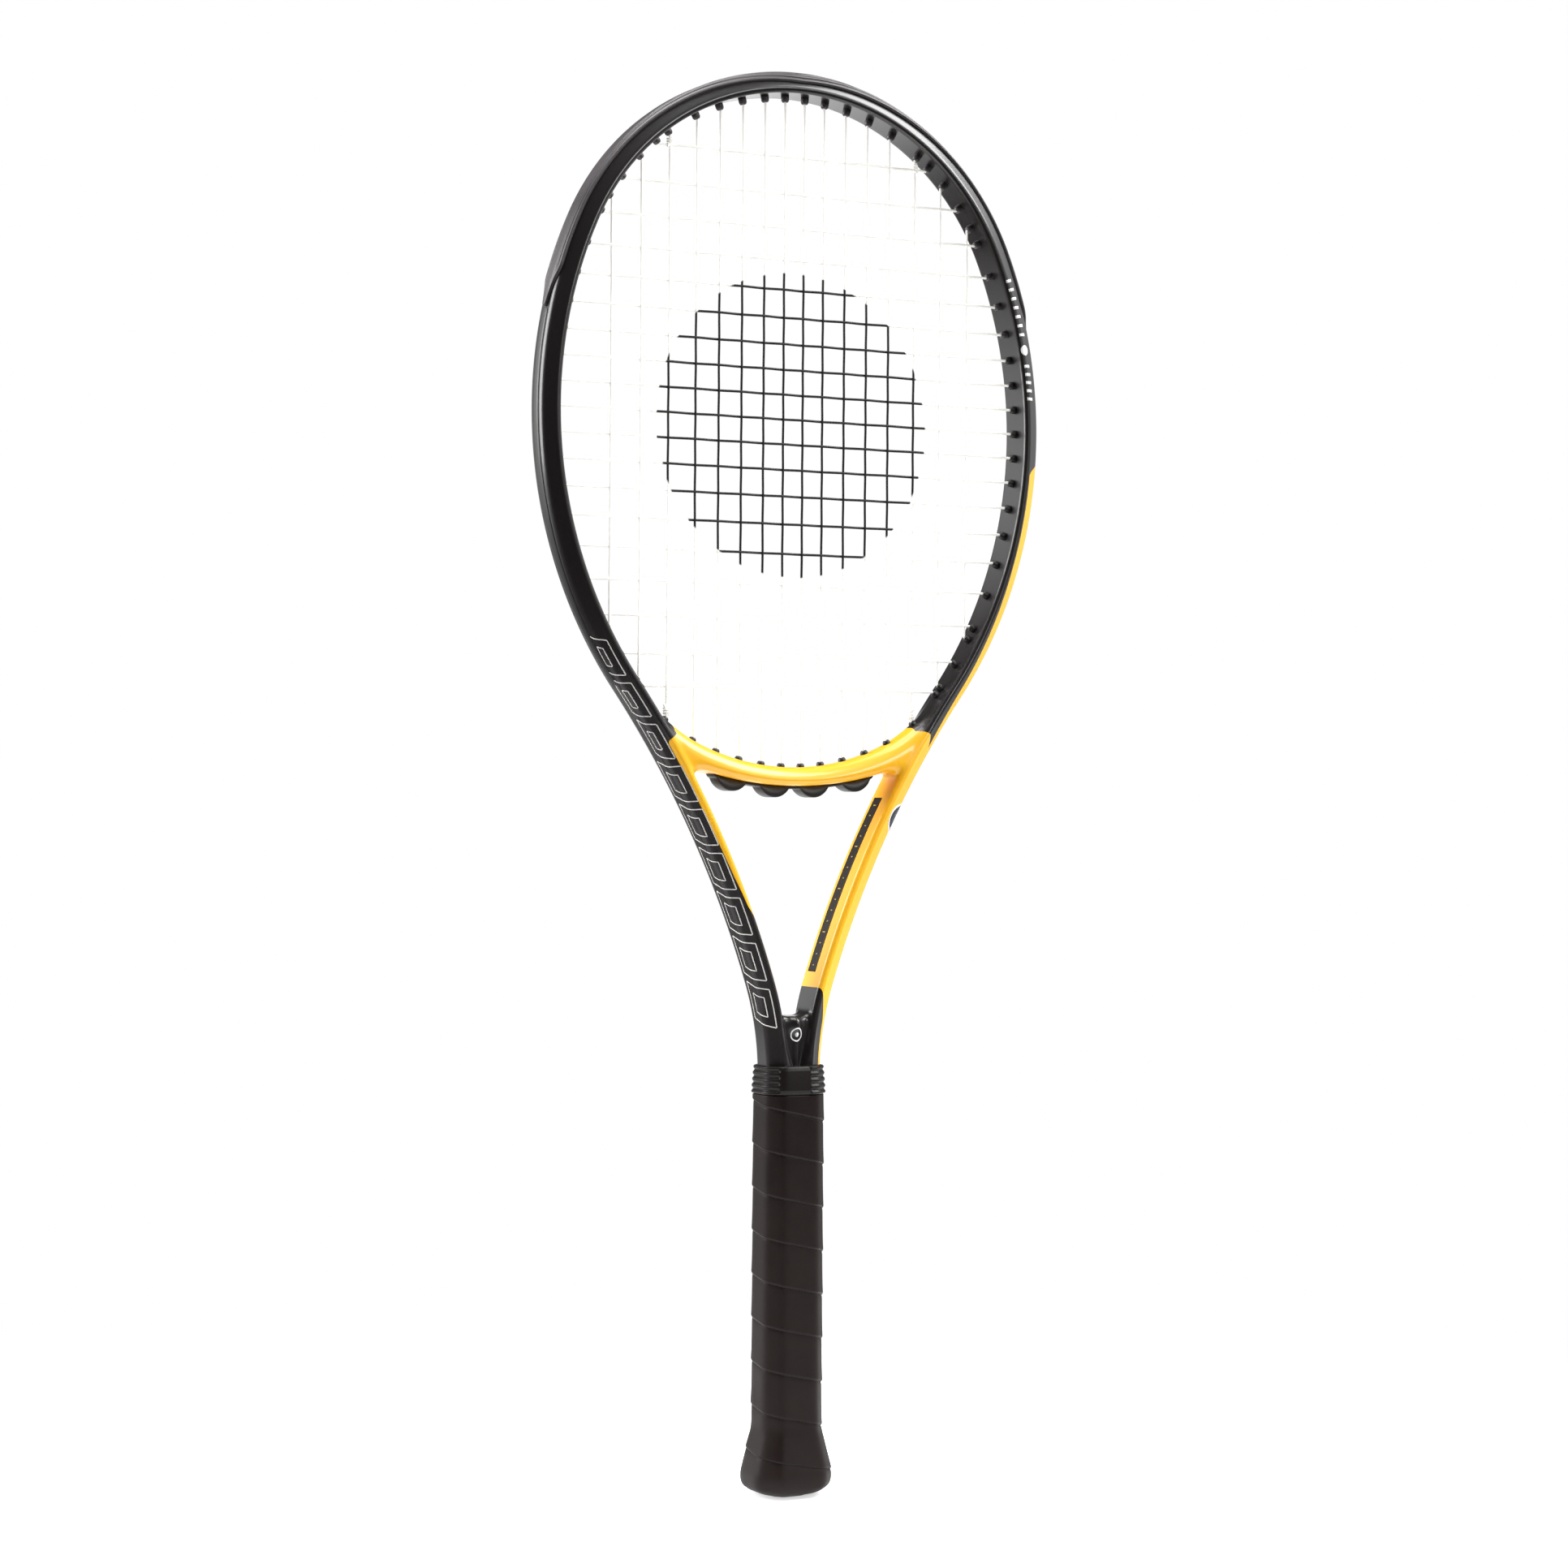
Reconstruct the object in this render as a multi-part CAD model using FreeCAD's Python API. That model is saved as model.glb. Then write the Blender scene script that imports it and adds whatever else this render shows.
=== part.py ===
import FreeCAD, Part
import math
import os

# Tennis racket, millimetres. Origin at the centre of the butt end, +Z up the racket, X across the head,
# Y through its thickness; the front is -Y. One STEP file per piece is written to parts/.
V = FreeCAD.Vector
ORIGIN = V(0, 0, 0)
AXIS_X = V(1, 0, 0)
AXIS_Y = V(0, 1, 0)

# Overall
LENGTH = 685.8           # 27 in, the standard adult length

# Frame tube: flat inside, tight edges at the front and back, round shoulders outside
TUBE_A = 4.55            # half width, in the plane of the head
TUBE_B = 10.0            # half depth, along Y
TUBE_EDGE_R = 2.0        # inner edges, front and back
TUBE_SHOULDER_R = 3.7    # outer shoulders
TUBE_SHOULDER_Y = 4.0    # half depth of the flat between the shoulders
TUBE_WALL = 1.6

# Bumper over the top of the head
BUMPER_WALL = 1.5
BUMPER_TURN = 78.0       # heading at its two ends, degrees from the top
BUMPER_LIP = 0.4         # how far out from the tube's middle its edges stop

# Half centreline from the top of the head to the handle: (radius, turn in degrees).
# A positive radius bends in towards the handle, a negative one bends back.
HALF_PATH = [(122.7, 66.2), (219.3, 59.8), (-505.3, 18.1), (-149.0, 17.9)]
TOP_Z = LENGTH - BUMPER_WALL - TUBE_A

# Groove round the outside of the head
GROOVE_HALF = 3.4
GROOVE_DEPTH = 1.4

# Throat
BRIDGE_TOP_Z = 351.0     # lowest point inside the head
BRIDGE_TOP_R = 125.0     # inside of the head, middle of the bridge
BRIDGE_TOP_TURN = 22.6
BRIDGE_LOW_Z = 342.0     # top of the throat opening
BRIDGE_LOW_R = 175.0
BRIDGE_HALF = 9.6        # half depth
BRIDGE_ROUND = 4.0
OPENING_Z = 231.0        # bottom of the throat opening
OPENING_TOP_R = 5.0
OPENING_LOW_R = 4.5
WEB_HALF = 7.8
EMBLEM_Z = 222.3
EMBLEM_R = 3.3
LABEL_LOW_Z = 252.0      # strip on the inner face of the right shaft
LABEL_TOP_Z = 336.0
LABEL_FRONT = -1.3
LABEL_BACK = 6.2

# Grommets and strings
BARREL_OUT = 3.3         # how far a barrel stands into the head
BRIDGE_BARREL_OUT = 1.8  # the same at the bridge
BARREL_R = 2.0
BARREL_BORE = 1.35
STRING_R = 0.6
MAINS = [5.3, 16.1, 28.0, 40.2, 52.6, 67.0, 81.7, 97.1]
CROSSES = 19
CROSS_TOP_Z = 645.6
CROSS_GAP = 11.95        # the narrowest gap
CROSS_SPREAD = 0.094     # how the gaps open towards both ends
CROSS_MIDDLE = 8         # number of the narrowest gap, from the top
STRIP_WALL = 1.5
STRIP_HALF = 4.5         # half depth of the strip under the bridge
STRIP_REACH = 44.0       # how far it reaches each side of the middle
LOBE_R = 9.0
LOBE_DROP = 4.4
LOBES = [10.55, 33.25]

# Handle, octagonal; half sizes across X and Y and the corner cut
WRAP = (16.3, 14.2, 7.0)
WRAP_WALL = 1.9
FLARE = [(3.9, 1.17), (9.5, 1.295), (16.4, 1.23), (24.3, 1.13), (34.0, 1.0)]
CAP_END = [(0.0, 0.66), (1.6, 0.93), (3.9, 1.17)]
CAP_TOP = 38.0
SPIGOT = (11.6, 9.6, 4.8)
SPIGOT_LOW = 8.0
HAIRPIN_LOW = 40.0
HAIRPIN_IN = 0.8         # how far the tube ends pull in inside the handle
COLLAR_LOW = 193.7
COLLAR_TOP = 207.4
CORE_TOP = 200.0
WRAP_TOP = 198.0
BADGE_R = 7.5
STAPLE_Z = 25.0
STAPLE_Y = 13.3          # middle of a staple's crown
STAPLE_WIRE = 0.9
STAPLE_CROWN = 9.0
STAPLE_LEG = 6.0
TACK = V(6.0, -17.1, 10.0)
TACK_HEAD = (2.2, 0.6)   # radius and thickness
TACK_PIN = (0.6, 5.5)    # radius and length
RIBS = 5


def half_arcs():
    """The half centreline as arcs: centre x and z, signed radius, first and last heading."""
    x, z, heading = 0.0, TOP_Z, 0.0
    arcs = []
    for radius, turn in HALF_PATH:
        start = math.radians(heading)
        cx = x - radius * math.sin(start)
        cz = z - radius * math.cos(start)
        end = heading + math.copysign(turn, radius)
        arcs.append((cx, cz, radius, heading, end))
        x = cx + radius * math.sin(math.radians(end))
        z = cz + radius * math.cos(math.radians(end))
        heading = end
    return arcs


ARCS = half_arcs()
HEAD_ARCS = ARCS[:2]
SHAFT_ARCS = ARCS[2:]


def on_arc(arc, heading, out=0.0):
    """The point at a heading on an arc, moved outwards from the centreline."""
    cx, cz, radius = arc[:3]
    turn = math.radians(heading)
    reach = radius + out
    return V(cx + reach * math.sin(turn), 0, cz + reach * math.cos(turn))


TUBE_END = on_arc(ARCS[-1], ARCS[-1][4])


def section(grow=0.0):
    """The tube's section as a face at the origin: Z is outwards, Y is depth."""
    edge_r, round_r = TUBE_EDGE_R + grow, TUBE_SHOULDER_R + grow
    edge_z, edge_y = TUBE_EDGE_R - TUBE_A, TUBE_B - TUBE_EDGE_R
    round_z, round_y = TUBE_A - TUBE_SHOULDER_R, TUBE_SHOULDER_Y
    span = math.hypot(edge_z - round_z, edge_y - round_y)
    tilt = math.atan2(edge_y - round_y, edge_z - round_z) - math.acos((round_r - edge_r) / span)

    def at(side, z, y, radius, angle):
        return V(0, side * (y + radius * math.sin(angle)), z + radius * math.cos(angle))

    edges = []
    for side in (1, -1):
        outer = [at(side, round_z, round_y, round_r, angle) for angle in (0, tilt / 2, tilt)]
        inner = [at(side, edge_z, edge_y, edge_r, angle) for angle in (tilt, (tilt + math.pi) / 2, math.pi)]
        edges.append(Part.Arc(*outer).toShape())
        edges.append(Part.LineSegment(outer[2], inner[0]).toShape())
        edges.append(Part.Arc(*inner).toShape())
        if side > 0:
            ends = (outer[0], inner[2])
    edges.append(Part.LineSegment(ends[0], outer[0]).toShape())
    edges.append(Part.LineSegment(ends[1], inner[2]).toShape())
    return Part.Face(Part.Wire(Part.__sortEdges__(edges)))


def plate(z0, z1, half):
    """A flat rectangular section, from z0 to z1 outwards and half each way in depth."""
    points = [V(0, -half, z0), V(0, half, z0), V(0, half, z1), V(0, -half, z1), V(0, -half, z0)]
    return Part.Face(Part.makePolygon(points))


def sweep(profile, arcs, first=None, last=None):
    """A flat profile carried along part of the right half of the centreline."""
    pieces = []
    for arc in arcs:
        start, end = arc[3], arc[4]
        if first is not None:
            start = max(start, first)
        if last is not None:
            end = min(end, last)
        if abs(end - start) < 0.01 or (arc[2] > 0 and end < start):
            continue
        face = profile.copy()
        face.rotate(ORIGIN, AXIS_Y, start)
        face.translate(on_arc(arc, start))
        pieces.append(face.revolve(V(arc[0], 0, arc[1]), AXIS_Y, end - start))
    return join(pieces)


def join(pieces):
    """Pieces fused into one shape, with the seams between them cleaned away."""
    if len(pieces) == 1:
        return pieces[0]
    return pieces[0].multiFuse(pieces[1:]).removeSplitter()


def mirrored(shape):
    """The same shape on the other side of the racket's middle plane."""
    return shape.mirror(ORIGIN, AXIS_X)


def both(shape):
    """A shape of the right half with its mirror image, as one shape."""
    return join([shape, mirrored(shape)])


def three_point(p, q, r):
    """An arc through three points of the XZ plane."""
    return Part.Arc(V(p[0], 0, p[1]), V(q[0], 0, q[1]), V(r[0], 0, r[1])).toShape()


def line(p, q):
    """A line between two points of the XZ plane."""
    return Part.LineSegment(V(p[0], 0, p[1]), V(q[0], 0, q[1])).toShape()


def prism(edges, half):
    """A closed outline in the XZ plane given depth, half each way."""
    face = Part.Face(Part.Wire(Part.__sortEdges__(edges)))
    solid = face.extrude(V(0, 2 * half, 0))
    solid.translate(V(0, -half, 0))
    return solid


def xz(point):
    """The x and z of a point."""
    return (point.x, point.z)


def octagon(size, z, scale=1.0, shrink=0.0):
    """The handle's octagon as a wire at a height."""
    hx, hy, cut = (value * scale for value in size)
    hx, hy, cut = hx - shrink, hy - shrink, cut - shrink * (2 - math.sqrt(2))
    corners = [(hx, hy - cut), (hx - cut, hy), (cut - hx, hy), (-hx, hy - cut)]
    corners += [(-x, -y) for x, y in corners]
    points = [V(x, y, z) for x, y in corners]
    return Part.makePolygon(points + [points[0]])


def loft(rings):
    """A solid with flat sides through a stack of octagons."""
    return Part.makeLoft(rings, True, True)


def rod(start, end, radius):
    """A round rod between two points."""
    along = end.sub(start)
    return Part.makeCylinder(radius, along.Length, start, along)


def save(name, shape):
    """Checks a piece and writes its file."""
    os.makedirs("parts", exist_ok=True)
    shape.exportStep("parts/" + name + ".step")
    box = shape.optimalBoundingBox(False)
    size = (box.XLength, box.YLength, box.ZLength)
    print("%-22s solids %d valid %s volume %.1f" % (name, len(shape.Solids), shape.isValid(), shape.Volume),
          "box %.1f %.1f %.1f" % size)


# The inside of the head below its middle: the bridge's top edge, and an arc each side of it
# that runs on into the inner edge of the tube.
LIMB_C = (ARCS[1][0], ARCS[1][1])
LIMB_R = ARCS[1][2] - TUBE_A
BRIDGE_C = (0.0, BRIDGE_TOP_Z + BRIDGE_TOP_R)


def side_arc():
    """Centre, radius and last turn of the arc that joins the bridge's top to the tube."""
    turn = math.radians(BRIDGE_TOP_TURN)
    dx, dz = math.sin(turn), -math.cos(turn)
    wx, wz = BRIDGE_C[0] - LIMB_C[0], BRIDGE_C[1] - LIMB_C[1]
    gap = LIMB_R - BRIDGE_TOP_R
    step = (gap * gap - wx * wx - wz * wz) / (2 * (wx * dx + wz * dz - gap))
    centre = (BRIDGE_C[0] + step * dx, BRIDGE_C[1] + step * dz)
    last = math.degrees(math.atan2(centre[0] - LIMB_C[0], LIMB_C[1] - centre[1]))
    return centre, BRIDGE_TOP_R - step, last


SIDE_C, BRIDGE_SIDE_R, BRIDGE_SIDE_TURN = side_arc()


def round_point(centre, radius, turn):
    """A point of an arc below its centre, at a turn from straight down."""
    angle = math.radians(turn)
    return (centre[0] + radius * math.sin(angle), centre[1] - radius * math.cos(angle))


def head_tool():
    """The space inside the head just above the bridge."""
    turns = [(BRIDGE_C, BRIDGE_TOP_R, 0.0, BRIDGE_TOP_TURN),
             (SIDE_C, BRIDGE_SIDE_R, BRIDGE_TOP_TURN, BRIDGE_SIDE_TURN),
             (LIMB_C, LIMB_R, BRIDGE_SIDE_TURN, BRIDGE_SIDE_TURN + 15.0)]
    edges = []
    for centre, radius, first, last in turns:
        trio = [round_point(centre, radius, turn) for turn in (first, (first + last) / 2, last)]
        edges.append(three_point(*trio))
        edges.append(three_point(*[(-x, z) for x, z in trio]))
    edges.append(line(trio[2], (-trio[2][0], trio[2][1])))
    return prism(edges, TUBE_B + 5)


def through_edges(solid, wanted):
    """The edges of a solid that run its whole depth, at the heights wanted."""
    found = []
    for edge in solid.Edges:
        ends = [vertex.Point for vertex in edge.Vertexes]
        if len(ends) == 2 and abs(ends[0].y - ends[1].y) > 2 * TUBE_B and wanted(ends[0].z):
            found.append(edge)
    return found


def opening_tool():
    """The space between the two shafts, with its corners rounded."""
    half = TUBE_B + 5
    edges = []
    for side in (1, -1):
        chain = []
        for arc in SHAFT_ARCS:
            points = [on_arc(arc, turn, -TUBE_A) for turn in (arc[3], (arc[3] + arc[4]) / 2, arc[4])]
            chain.append([(side * p.x, p.z) for p in points])
        for points in chain:
            edges.append(three_point(*points))
    top = xz(on_arc(SHAFT_ARCS[0], SHAFT_ARCS[0][3], -TUBE_A))
    low = xz(on_arc(SHAFT_ARCS[-1], SHAFT_ARCS[-1][4], -TUBE_A))
    edges.append(line(top, (-top[0], top[1])))
    edges.append(line(low, (-low[0], low[1])))
    space = prism(edges, half)
    centre_z = BRIDGE_LOW_Z + BRIDGE_LOW_R
    space = space.cut(Part.makeCylinder(BRIDGE_LOW_R, 4 * half, V(0, -2 * half, centre_z), AXIS_Y))
    space = space.cut(Part.makeBox(100, 4 * half, 100, V(-50, -2 * half, OPENING_Z - 100)))
    whole = [solid for solid in space.Solids if solid.BoundBox.ZMin > OPENING_Z - 1]
    space = max(whole, key=lambda solid: solid.BoundBox.ZMax)
    space = space.makeFillet(OPENING_TOP_R, through_edges(space, lambda z: z > BRIDGE_LOW_Z - 2))
    return space.makeFillet(OPENING_LOW_R, through_edges(space, lambda z: abs(z - OPENING_Z) < 0.1))


TUBE = section()
LIMB_HEAD = both(sweep(TUBE, HEAD_ARCS))
SHAFT_SOLID = sweep(TUBE, SHAFT_ARCS)
OPENING = opening_tool()

# A barrel is given by two points: its tip inside the head and its foot in the strip outside.


def head_barrel(arc, heading):
    """The tip and foot of a barrel through the tube of the head."""
    tip = on_arc(arc, heading, -TUBE_A - BARREL_OUT)
    foot = on_arc(arc, heading, TUBE_A - GROOVE_DEPTH + 0.8)
    return tip, foot


def bridge_barrel(x, through):
    """A barrel through the bridge at a distance from the middle."""
    knee = round_point(BRIDGE_C, BRIDGE_TOP_R, BRIDGE_TOP_TURN)[0]
    centre, radius = (BRIDGE_C, BRIDGE_TOP_R) if x < knee - 1 else (SIDE_C, BRIDGE_SIDE_R)
    turn = math.degrees(math.asin((x - centre[0]) / (radius - BRIDGE_BARREL_OUT)))
    tip = round_point(centre, radius - BRIDGE_BARREL_OUT, turn)
    foot = round_point(centre, radius + through, turn)
    return V(tip[0], 0, tip[1]), V(foot[0], 0, foot[1])


def main_ends():
    """The top and bottom barrels of the mains of the right half."""
    inner = -TUBE_A - BARREL_OUT
    tops, lows = [], []
    for x in MAINS:
        for arc in HEAD_ARCS:
            turn = math.degrees(math.asin(min(1.0, (x - arc[0]) / (arc[2] + inner))))
            if arc[3] <= turn < arc[4]:
                tops.append(head_barrel(arc, turn))
                break
        arc = HEAD_ARCS[1]
        if x > MAINS[5] + 1:
            turn = 180 - math.degrees(math.asin((x - arc[0]) / (arc[2] + inner)))
            lows.append(head_barrel(arc, turn))
        else:
            lows.append(bridge_barrel(x, 9.0))
    return tops, lows


def cross_heights():
    """The heights of the crosses, from the top down."""
    heights = [CROSS_TOP_Z]
    for gap in range(CROSSES - 1):
        heights.append(heights[-1] - CROSS_GAP - CROSS_SPREAD * (gap - CROSS_MIDDLE) ** 2)
    return heights


def cross_ends():
    """The barrels of the crosses on the right side."""
    inner = -TUBE_A - BARREL_OUT
    ends = []
    for z in cross_heights():
        for arc in HEAD_ARCS:
            rise = (z - arc[1]) / (arc[2] + inner)
            turn = math.degrees(math.acos(max(-1.0, min(1.0, rise))))
            if abs(rise) < 1 and arc[3] <= turn < arc[4] + 4:
                ends.append(head_barrel(arc, min(turn, arc[4])))
                break
    return ends


MAIN_TOPS, MAIN_LOWS = main_ends()
CROSS_ENDS = cross_ends()
HEAD_BARRELS = MAIN_TOPS + MAIN_LOWS[6:] + CROSS_ENDS
BRIDGE_BARRELS = MAIN_LOWS[:6]


def drilled(shape, ends):
    """A shape with its string holes, on both halves."""
    holes = []
    for tip, foot in ends:
        along = foot.sub(tip)
        far = foot.add(along.multiply(3.0 / along.Length))
        holes += [rod(tip, far, BARREL_R), mirrored(rod(tip, far, BARREL_R))]
    return shape.cut(holes)


def barrels(ends):
    """The right-hand barrels as short tubes."""
    tubes = []
    for tip, foot in ends:
        outer = rod(tip, foot, BARREL_R)
        tubes.append(outer.cut(rod(tip, foot, BARREL_BORE)))
    return tubes


# Frame
cavity = both(sweep(section(-TUBE_WALL), HEAD_ARCS))
groove = both(sweep(plate(TUBE_A - GROOVE_DEPTH, TUBE_A + 4, GROOVE_HALF), HEAD_ARCS))
hoop = LIMB_HEAD.cut(cavity).cut(groove)
hoop = drilled(hoop, HEAD_BARRELS)
save("head_hoop", hoop)

shaft = SHAFT_SOLID.cut(sweep(section(-TUBE_WALL), SHAFT_ARCS))
save("shaft_right", shaft)
save("shaft_left", mirrored(shaft))

bridge_edges = []
arc_a, arc_b = HEAD_ARCS[1], SHAFT_ARCS[0]
turn_top, turn_low = arc_a[4] - 1.0, arc_b[3] - 7.5
for side in (1, -1):
    for arc, start, end in ((arc_a, turn_top, arc_a[4]), (arc_b, arc_b[3], turn_low)):
        trio = [on_arc(arc, turn) for turn in (start, (start + end) / 2, end)]
        bridge_edges.append(three_point(*[(side * p.x, p.z) for p in trio]))
high = on_arc(arc_a, turn_top)
low = on_arc(arc_b, turn_low)
bridge_edges.append(line((high.x, high.z), (-high.x, high.z)))
bridge_edges.append(line((low.x, low.z), (-low.x, low.z)))
bridge = prism(bridge_edges, BRIDGE_HALF).cut(head_tool()).cut(OPENING)
bridge = max(bridge.Solids, key=lambda solid: solid.Volume)


def clear_of_limb(point):
    """Whether a point lies well inside the limbs' centrelines."""
    for arc in (HEAD_ARCS[1], SHAFT_ARCS[0]):
        centre = V(arc[0], 0, arc[1])
        probe = V(abs(point.x), 0, point.z)
        if abs(probe.sub(centre).Length - abs(arc[2])) < 2.0:
            return False
    return True


rounded = []
for edge in bridge.Edges:
    ends = [vertex.Point for vertex in edge.Vertexes]
    middle = edge.valueAt((edge.FirstParameter + edge.LastParameter) / 2)
    flat = all(abs(abs(p.y) - BRIDGE_HALF) < 0.01 for p in ends + [middle])
    if flat and middle.z > low.z + 1 and clear_of_limb(middle):
        rounded.append(edge)
bridge = bridge.makeFillet(BRIDGE_ROUND, rounded)
bridge = bridge.cut([LIMB_HEAD, SHAFT_SOLID, mirrored(SHAFT_SOLID)])
bridge = max(bridge.Solids, key=lambda solid: solid.Volume)
bridge = drilled(bridge, BRIDGE_BARRELS)
save("throat_bridge", bridge)

# Web between the shafts, from the bottom of the throat opening to the collar.
web_top = OPENING_Z + 9.0
web = Part.makeBox(2 * 12.0, 2 * WEB_HALF, web_top - TUBE_END.z, V(-12.0, -WEB_HALF, TUBE_END.z))
web = web.cut(OPENING)
web = web.cut([SHAFT_SOLID, mirrored(SHAFT_SOLID)])
web = min(web.Solids, key=lambda solid: abs(solid.CenterOfMass.x) + abs(solid.BoundBox.ZMin - TUBE_END.z))
emblem_seat = Part.makeCylinder(EMBLEM_R + 0.1, 0.6, V(0, -WEB_HALF, EMBLEM_Z), AXIS_Y)
web = web.cut(emblem_seat)
save("throat_web", web)
inlay = Part.makeCylinder(EMBLEM_R, 0.7, V(0, -WEB_HALF - 0.1, EMBLEM_Z), AXIS_Y)
save("throat_emblem", inlay.makeFillet(0.08, inlay.Edges[:1]))

label = sweep(plate(-TUBE_A - 0.15, -TUBE_A + 1.2, TUBE_B), SHAFT_ARCS)
label = label.cut(SHAFT_SOLID)
window = Part.makeBox(
    100, LABEL_BACK - LABEL_FRONT, LABEL_TOP_Z - LABEL_LOW_Z, V(0, LABEL_FRONT, LABEL_LOW_Z))
save("shaft_label", label.common(window))

# Handle
hairpins = []
for side in (1, -1):
    outer = section()
    outer.rotate(ORIGIN, AXIS_Y, 90)
    outer.translate(V(TUBE_END.x - HAIRPIN_IN, 0, TUBE_END.z))
    inner = section(-TUBE_WALL)
    inner.rotate(ORIGIN, AXIS_Y, 90)
    inner.translate(V(TUBE_END.x - HAIRPIN_IN, 0, TUBE_END.z))
    drop = V(0, 0, HAIRPIN_LOW - TUBE_END.z)
    solid, hollow = outer.extrude(drop), inner.extrude(drop)
    tube = solid.cut(hollow)
    if side < 0:
        tube, solid = mirrored(tube), mirrored(solid)
    hairpins.append(solid)
    save("hairpin_right" if side > 0 else "hairpin_left", tube)

core_size = tuple(value - WRAP_WALL * k for value, k in zip(WRAP, (1, 1, 2 - math.sqrt(2))))
core = loft([octagon(core_size, CAP_TOP), octagon(core_size, CORE_TOP)])
spigot = loft([octagon(SPIGOT, SPIGOT_LOW), octagon(SPIGOT, CAP_TOP)])
core = join([core, spigot]).cut(hairpins)
staples = []
for side in (1, -1):
    corner = V(-STAPLE_CROWN / 2, side * STAPLE_Y - 0.4, STAPLE_Z)
    pieces = [Part.makeBox(STAPLE_CROWN, 0.8, STAPLE_WIRE, corner)]
    for x in (-STAPLE_CROWN / 2, STAPLE_CROWN / 2 - STAPLE_WIRE):
        leg = V(x, side * (STAPLE_Y - STAPLE_LEG / 2) - STAPLE_LEG / 2, STAPLE_Z)
        pieces.append(Part.makeBox(STAPLE_WIRE, STAPLE_LEG, STAPLE_WIRE, leg))
    staples.append(join(pieces))
core = core.cut(staples)
save("handle_core", core)
save("butt_cap_staples", Part.makeCompound(staples))

cap_rings = [octagon(WRAP, z, scale) for z, scale in CAP_END]
cap_rings += [octagon(WRAP, z, scale, WRAP_WALL) for z, scale in FLARE]
cap_low = loft(cap_rings[:3])
cap_high = loft(cap_rings[3:] + [octagon(core_size, CAP_TOP)])
cap = join([cap_low, cap_high]).cut(spigot)
badge = Part.makeCylinder(BADGE_R, 1.0, V(0, 0, 0.2))
tack = Part.makeCylinder(*TACK_HEAD, TACK, AXIS_Y)
tack = join([tack, Part.makeCylinder(*TACK_PIN, TACK.add(V(0, 0.4, 0)), AXIS_Y)])
cap = cap.cut(Part.makeCylinder(BADGE_R, 1.2, V(0, 0, 0)))
cap = cap.cut(staples + [tack])
save("butt_cap", cap)
save("butt_cap_badge", badge)
save("grip_tack", tack)

wrap_out = [octagon(WRAP, z, scale) for z, scale in FLARE]
wrap_out.append(octagon(WRAP, COLLAR_LOW))
wrap_out += [octagon(WRAP, z, 1.0, 1.0) for z in (COLLAR_LOW + 0.6, WRAP_TOP)]
wrap_in = [octagon(WRAP, z, scale, WRAP_WALL) for z, scale in FLARE]
wrap_in.append(octagon(WRAP, WRAP_TOP, 1.0, WRAP_WALL))
wrap = loft(wrap_out).cut(loft(wrap_in)).cut(tack)
save("grip_wrap", wrap)

tape = loft([octagon(WRAP, 195.0, 1.0, 0.85), octagon(WRAP, 199.5, 1.0, 0.85)])
tape = tape.cut(loft([octagon(WRAP, 194.0, 1.0, 1.0), octagon(WRAP, 200.5, 1.0, 1.0)]))
save("finishing_tape", tape)

collar = loft([octagon(WRAP, COLLAR_LOW + 0.1, 1.0, 0.1), octagon(WRAP, COLLAR_TOP, 1.0, 1.2)])
rib_pitch = (COLLAR_TOP - COLLAR_LOW - 0.6) / RIBS
for rib in range(RIBS):
    z = COLLAR_LOW + 0.3 + rib * rib_pitch
    sink = 0.1 + 1.0 * rib / RIBS
    collar = collar.fuse(loft([
        octagon(WRAP, z, 1.0, sink),
        octagon(WRAP, z + 0.6, 1.0, sink - 0.55),
        octagon(WRAP, z + 1.4, 1.0, sink - 0.55),
        octagon(WRAP, z + 2.0, 1.0, sink + 0.1),
    ]))
collar = collar.removeSplitter()
hollow = loft([octagon(WRAP, COLLAR_LOW + 0.05, 1.0, 0.8), octagon(WRAP, COLLAR_TOP - 2.0, 1.0, 2.2)])
collar = collar.cut(hollow).cut([SHAFT_SOLID, mirrored(SHAFT_SOLID), web])
collar = max(collar.Solids, key=lambda solid: solid.Volume)
save("grip_collar", collar)

# Bumper, grommet strips and barrels
sleeve = section(BUMPER_WALL).cut(TUBE)
sleeve = sleeve.common(plate(BUMPER_LIP, TUBE_A + 5, TUBE_B + 5)).Faces[0]
tongue = plate(TUBE_A - GROOVE_DEPTH, TUBE_A + 0.5, GROOVE_HALF)
split = on_arc(HEAD_ARCS[1], BUMPER_TURN).z + 3
cover = both(sweep(sleeve, HEAD_ARCS, 0.0, BUMPER_TURN))
cover = join([cover, both(sweep(tongue, HEAD_ARCS, 0.0, BUMPER_TURN))])
tubes = barrels([ends for ends in HEAD_BARRELS if ends[1].z > split])
bumper = join([cover] + tubes + [mirrored(tube) for tube in tubes])
save("bumper_guard", bumper)

strip = plate(TUBE_A - GROOVE_DEPTH, TUBE_A + 0.1, GROOVE_HALF - 0.1)
band = sweep(strip, HEAD_ARCS, BUMPER_TURN + 0.2)
band = join([band] + barrels([ends for ends in HEAD_BARRELS if ends[1].z <= split]))
save("grommet_strip_right", band)
save("grommet_strip_left", mirrored(band))

# Strip under the bridge with a lobe over each loop of string
low_c = V(0, -2 * TUBE_B, BRIDGE_LOW_Z + BRIDGE_LOW_R)


def low_disc(radius):
    """A thick disc about the centre of the bridge's lower arc."""
    return Part.makeCylinder(radius, 4 * TUBE_B, low_c, AXIS_Y)


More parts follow.
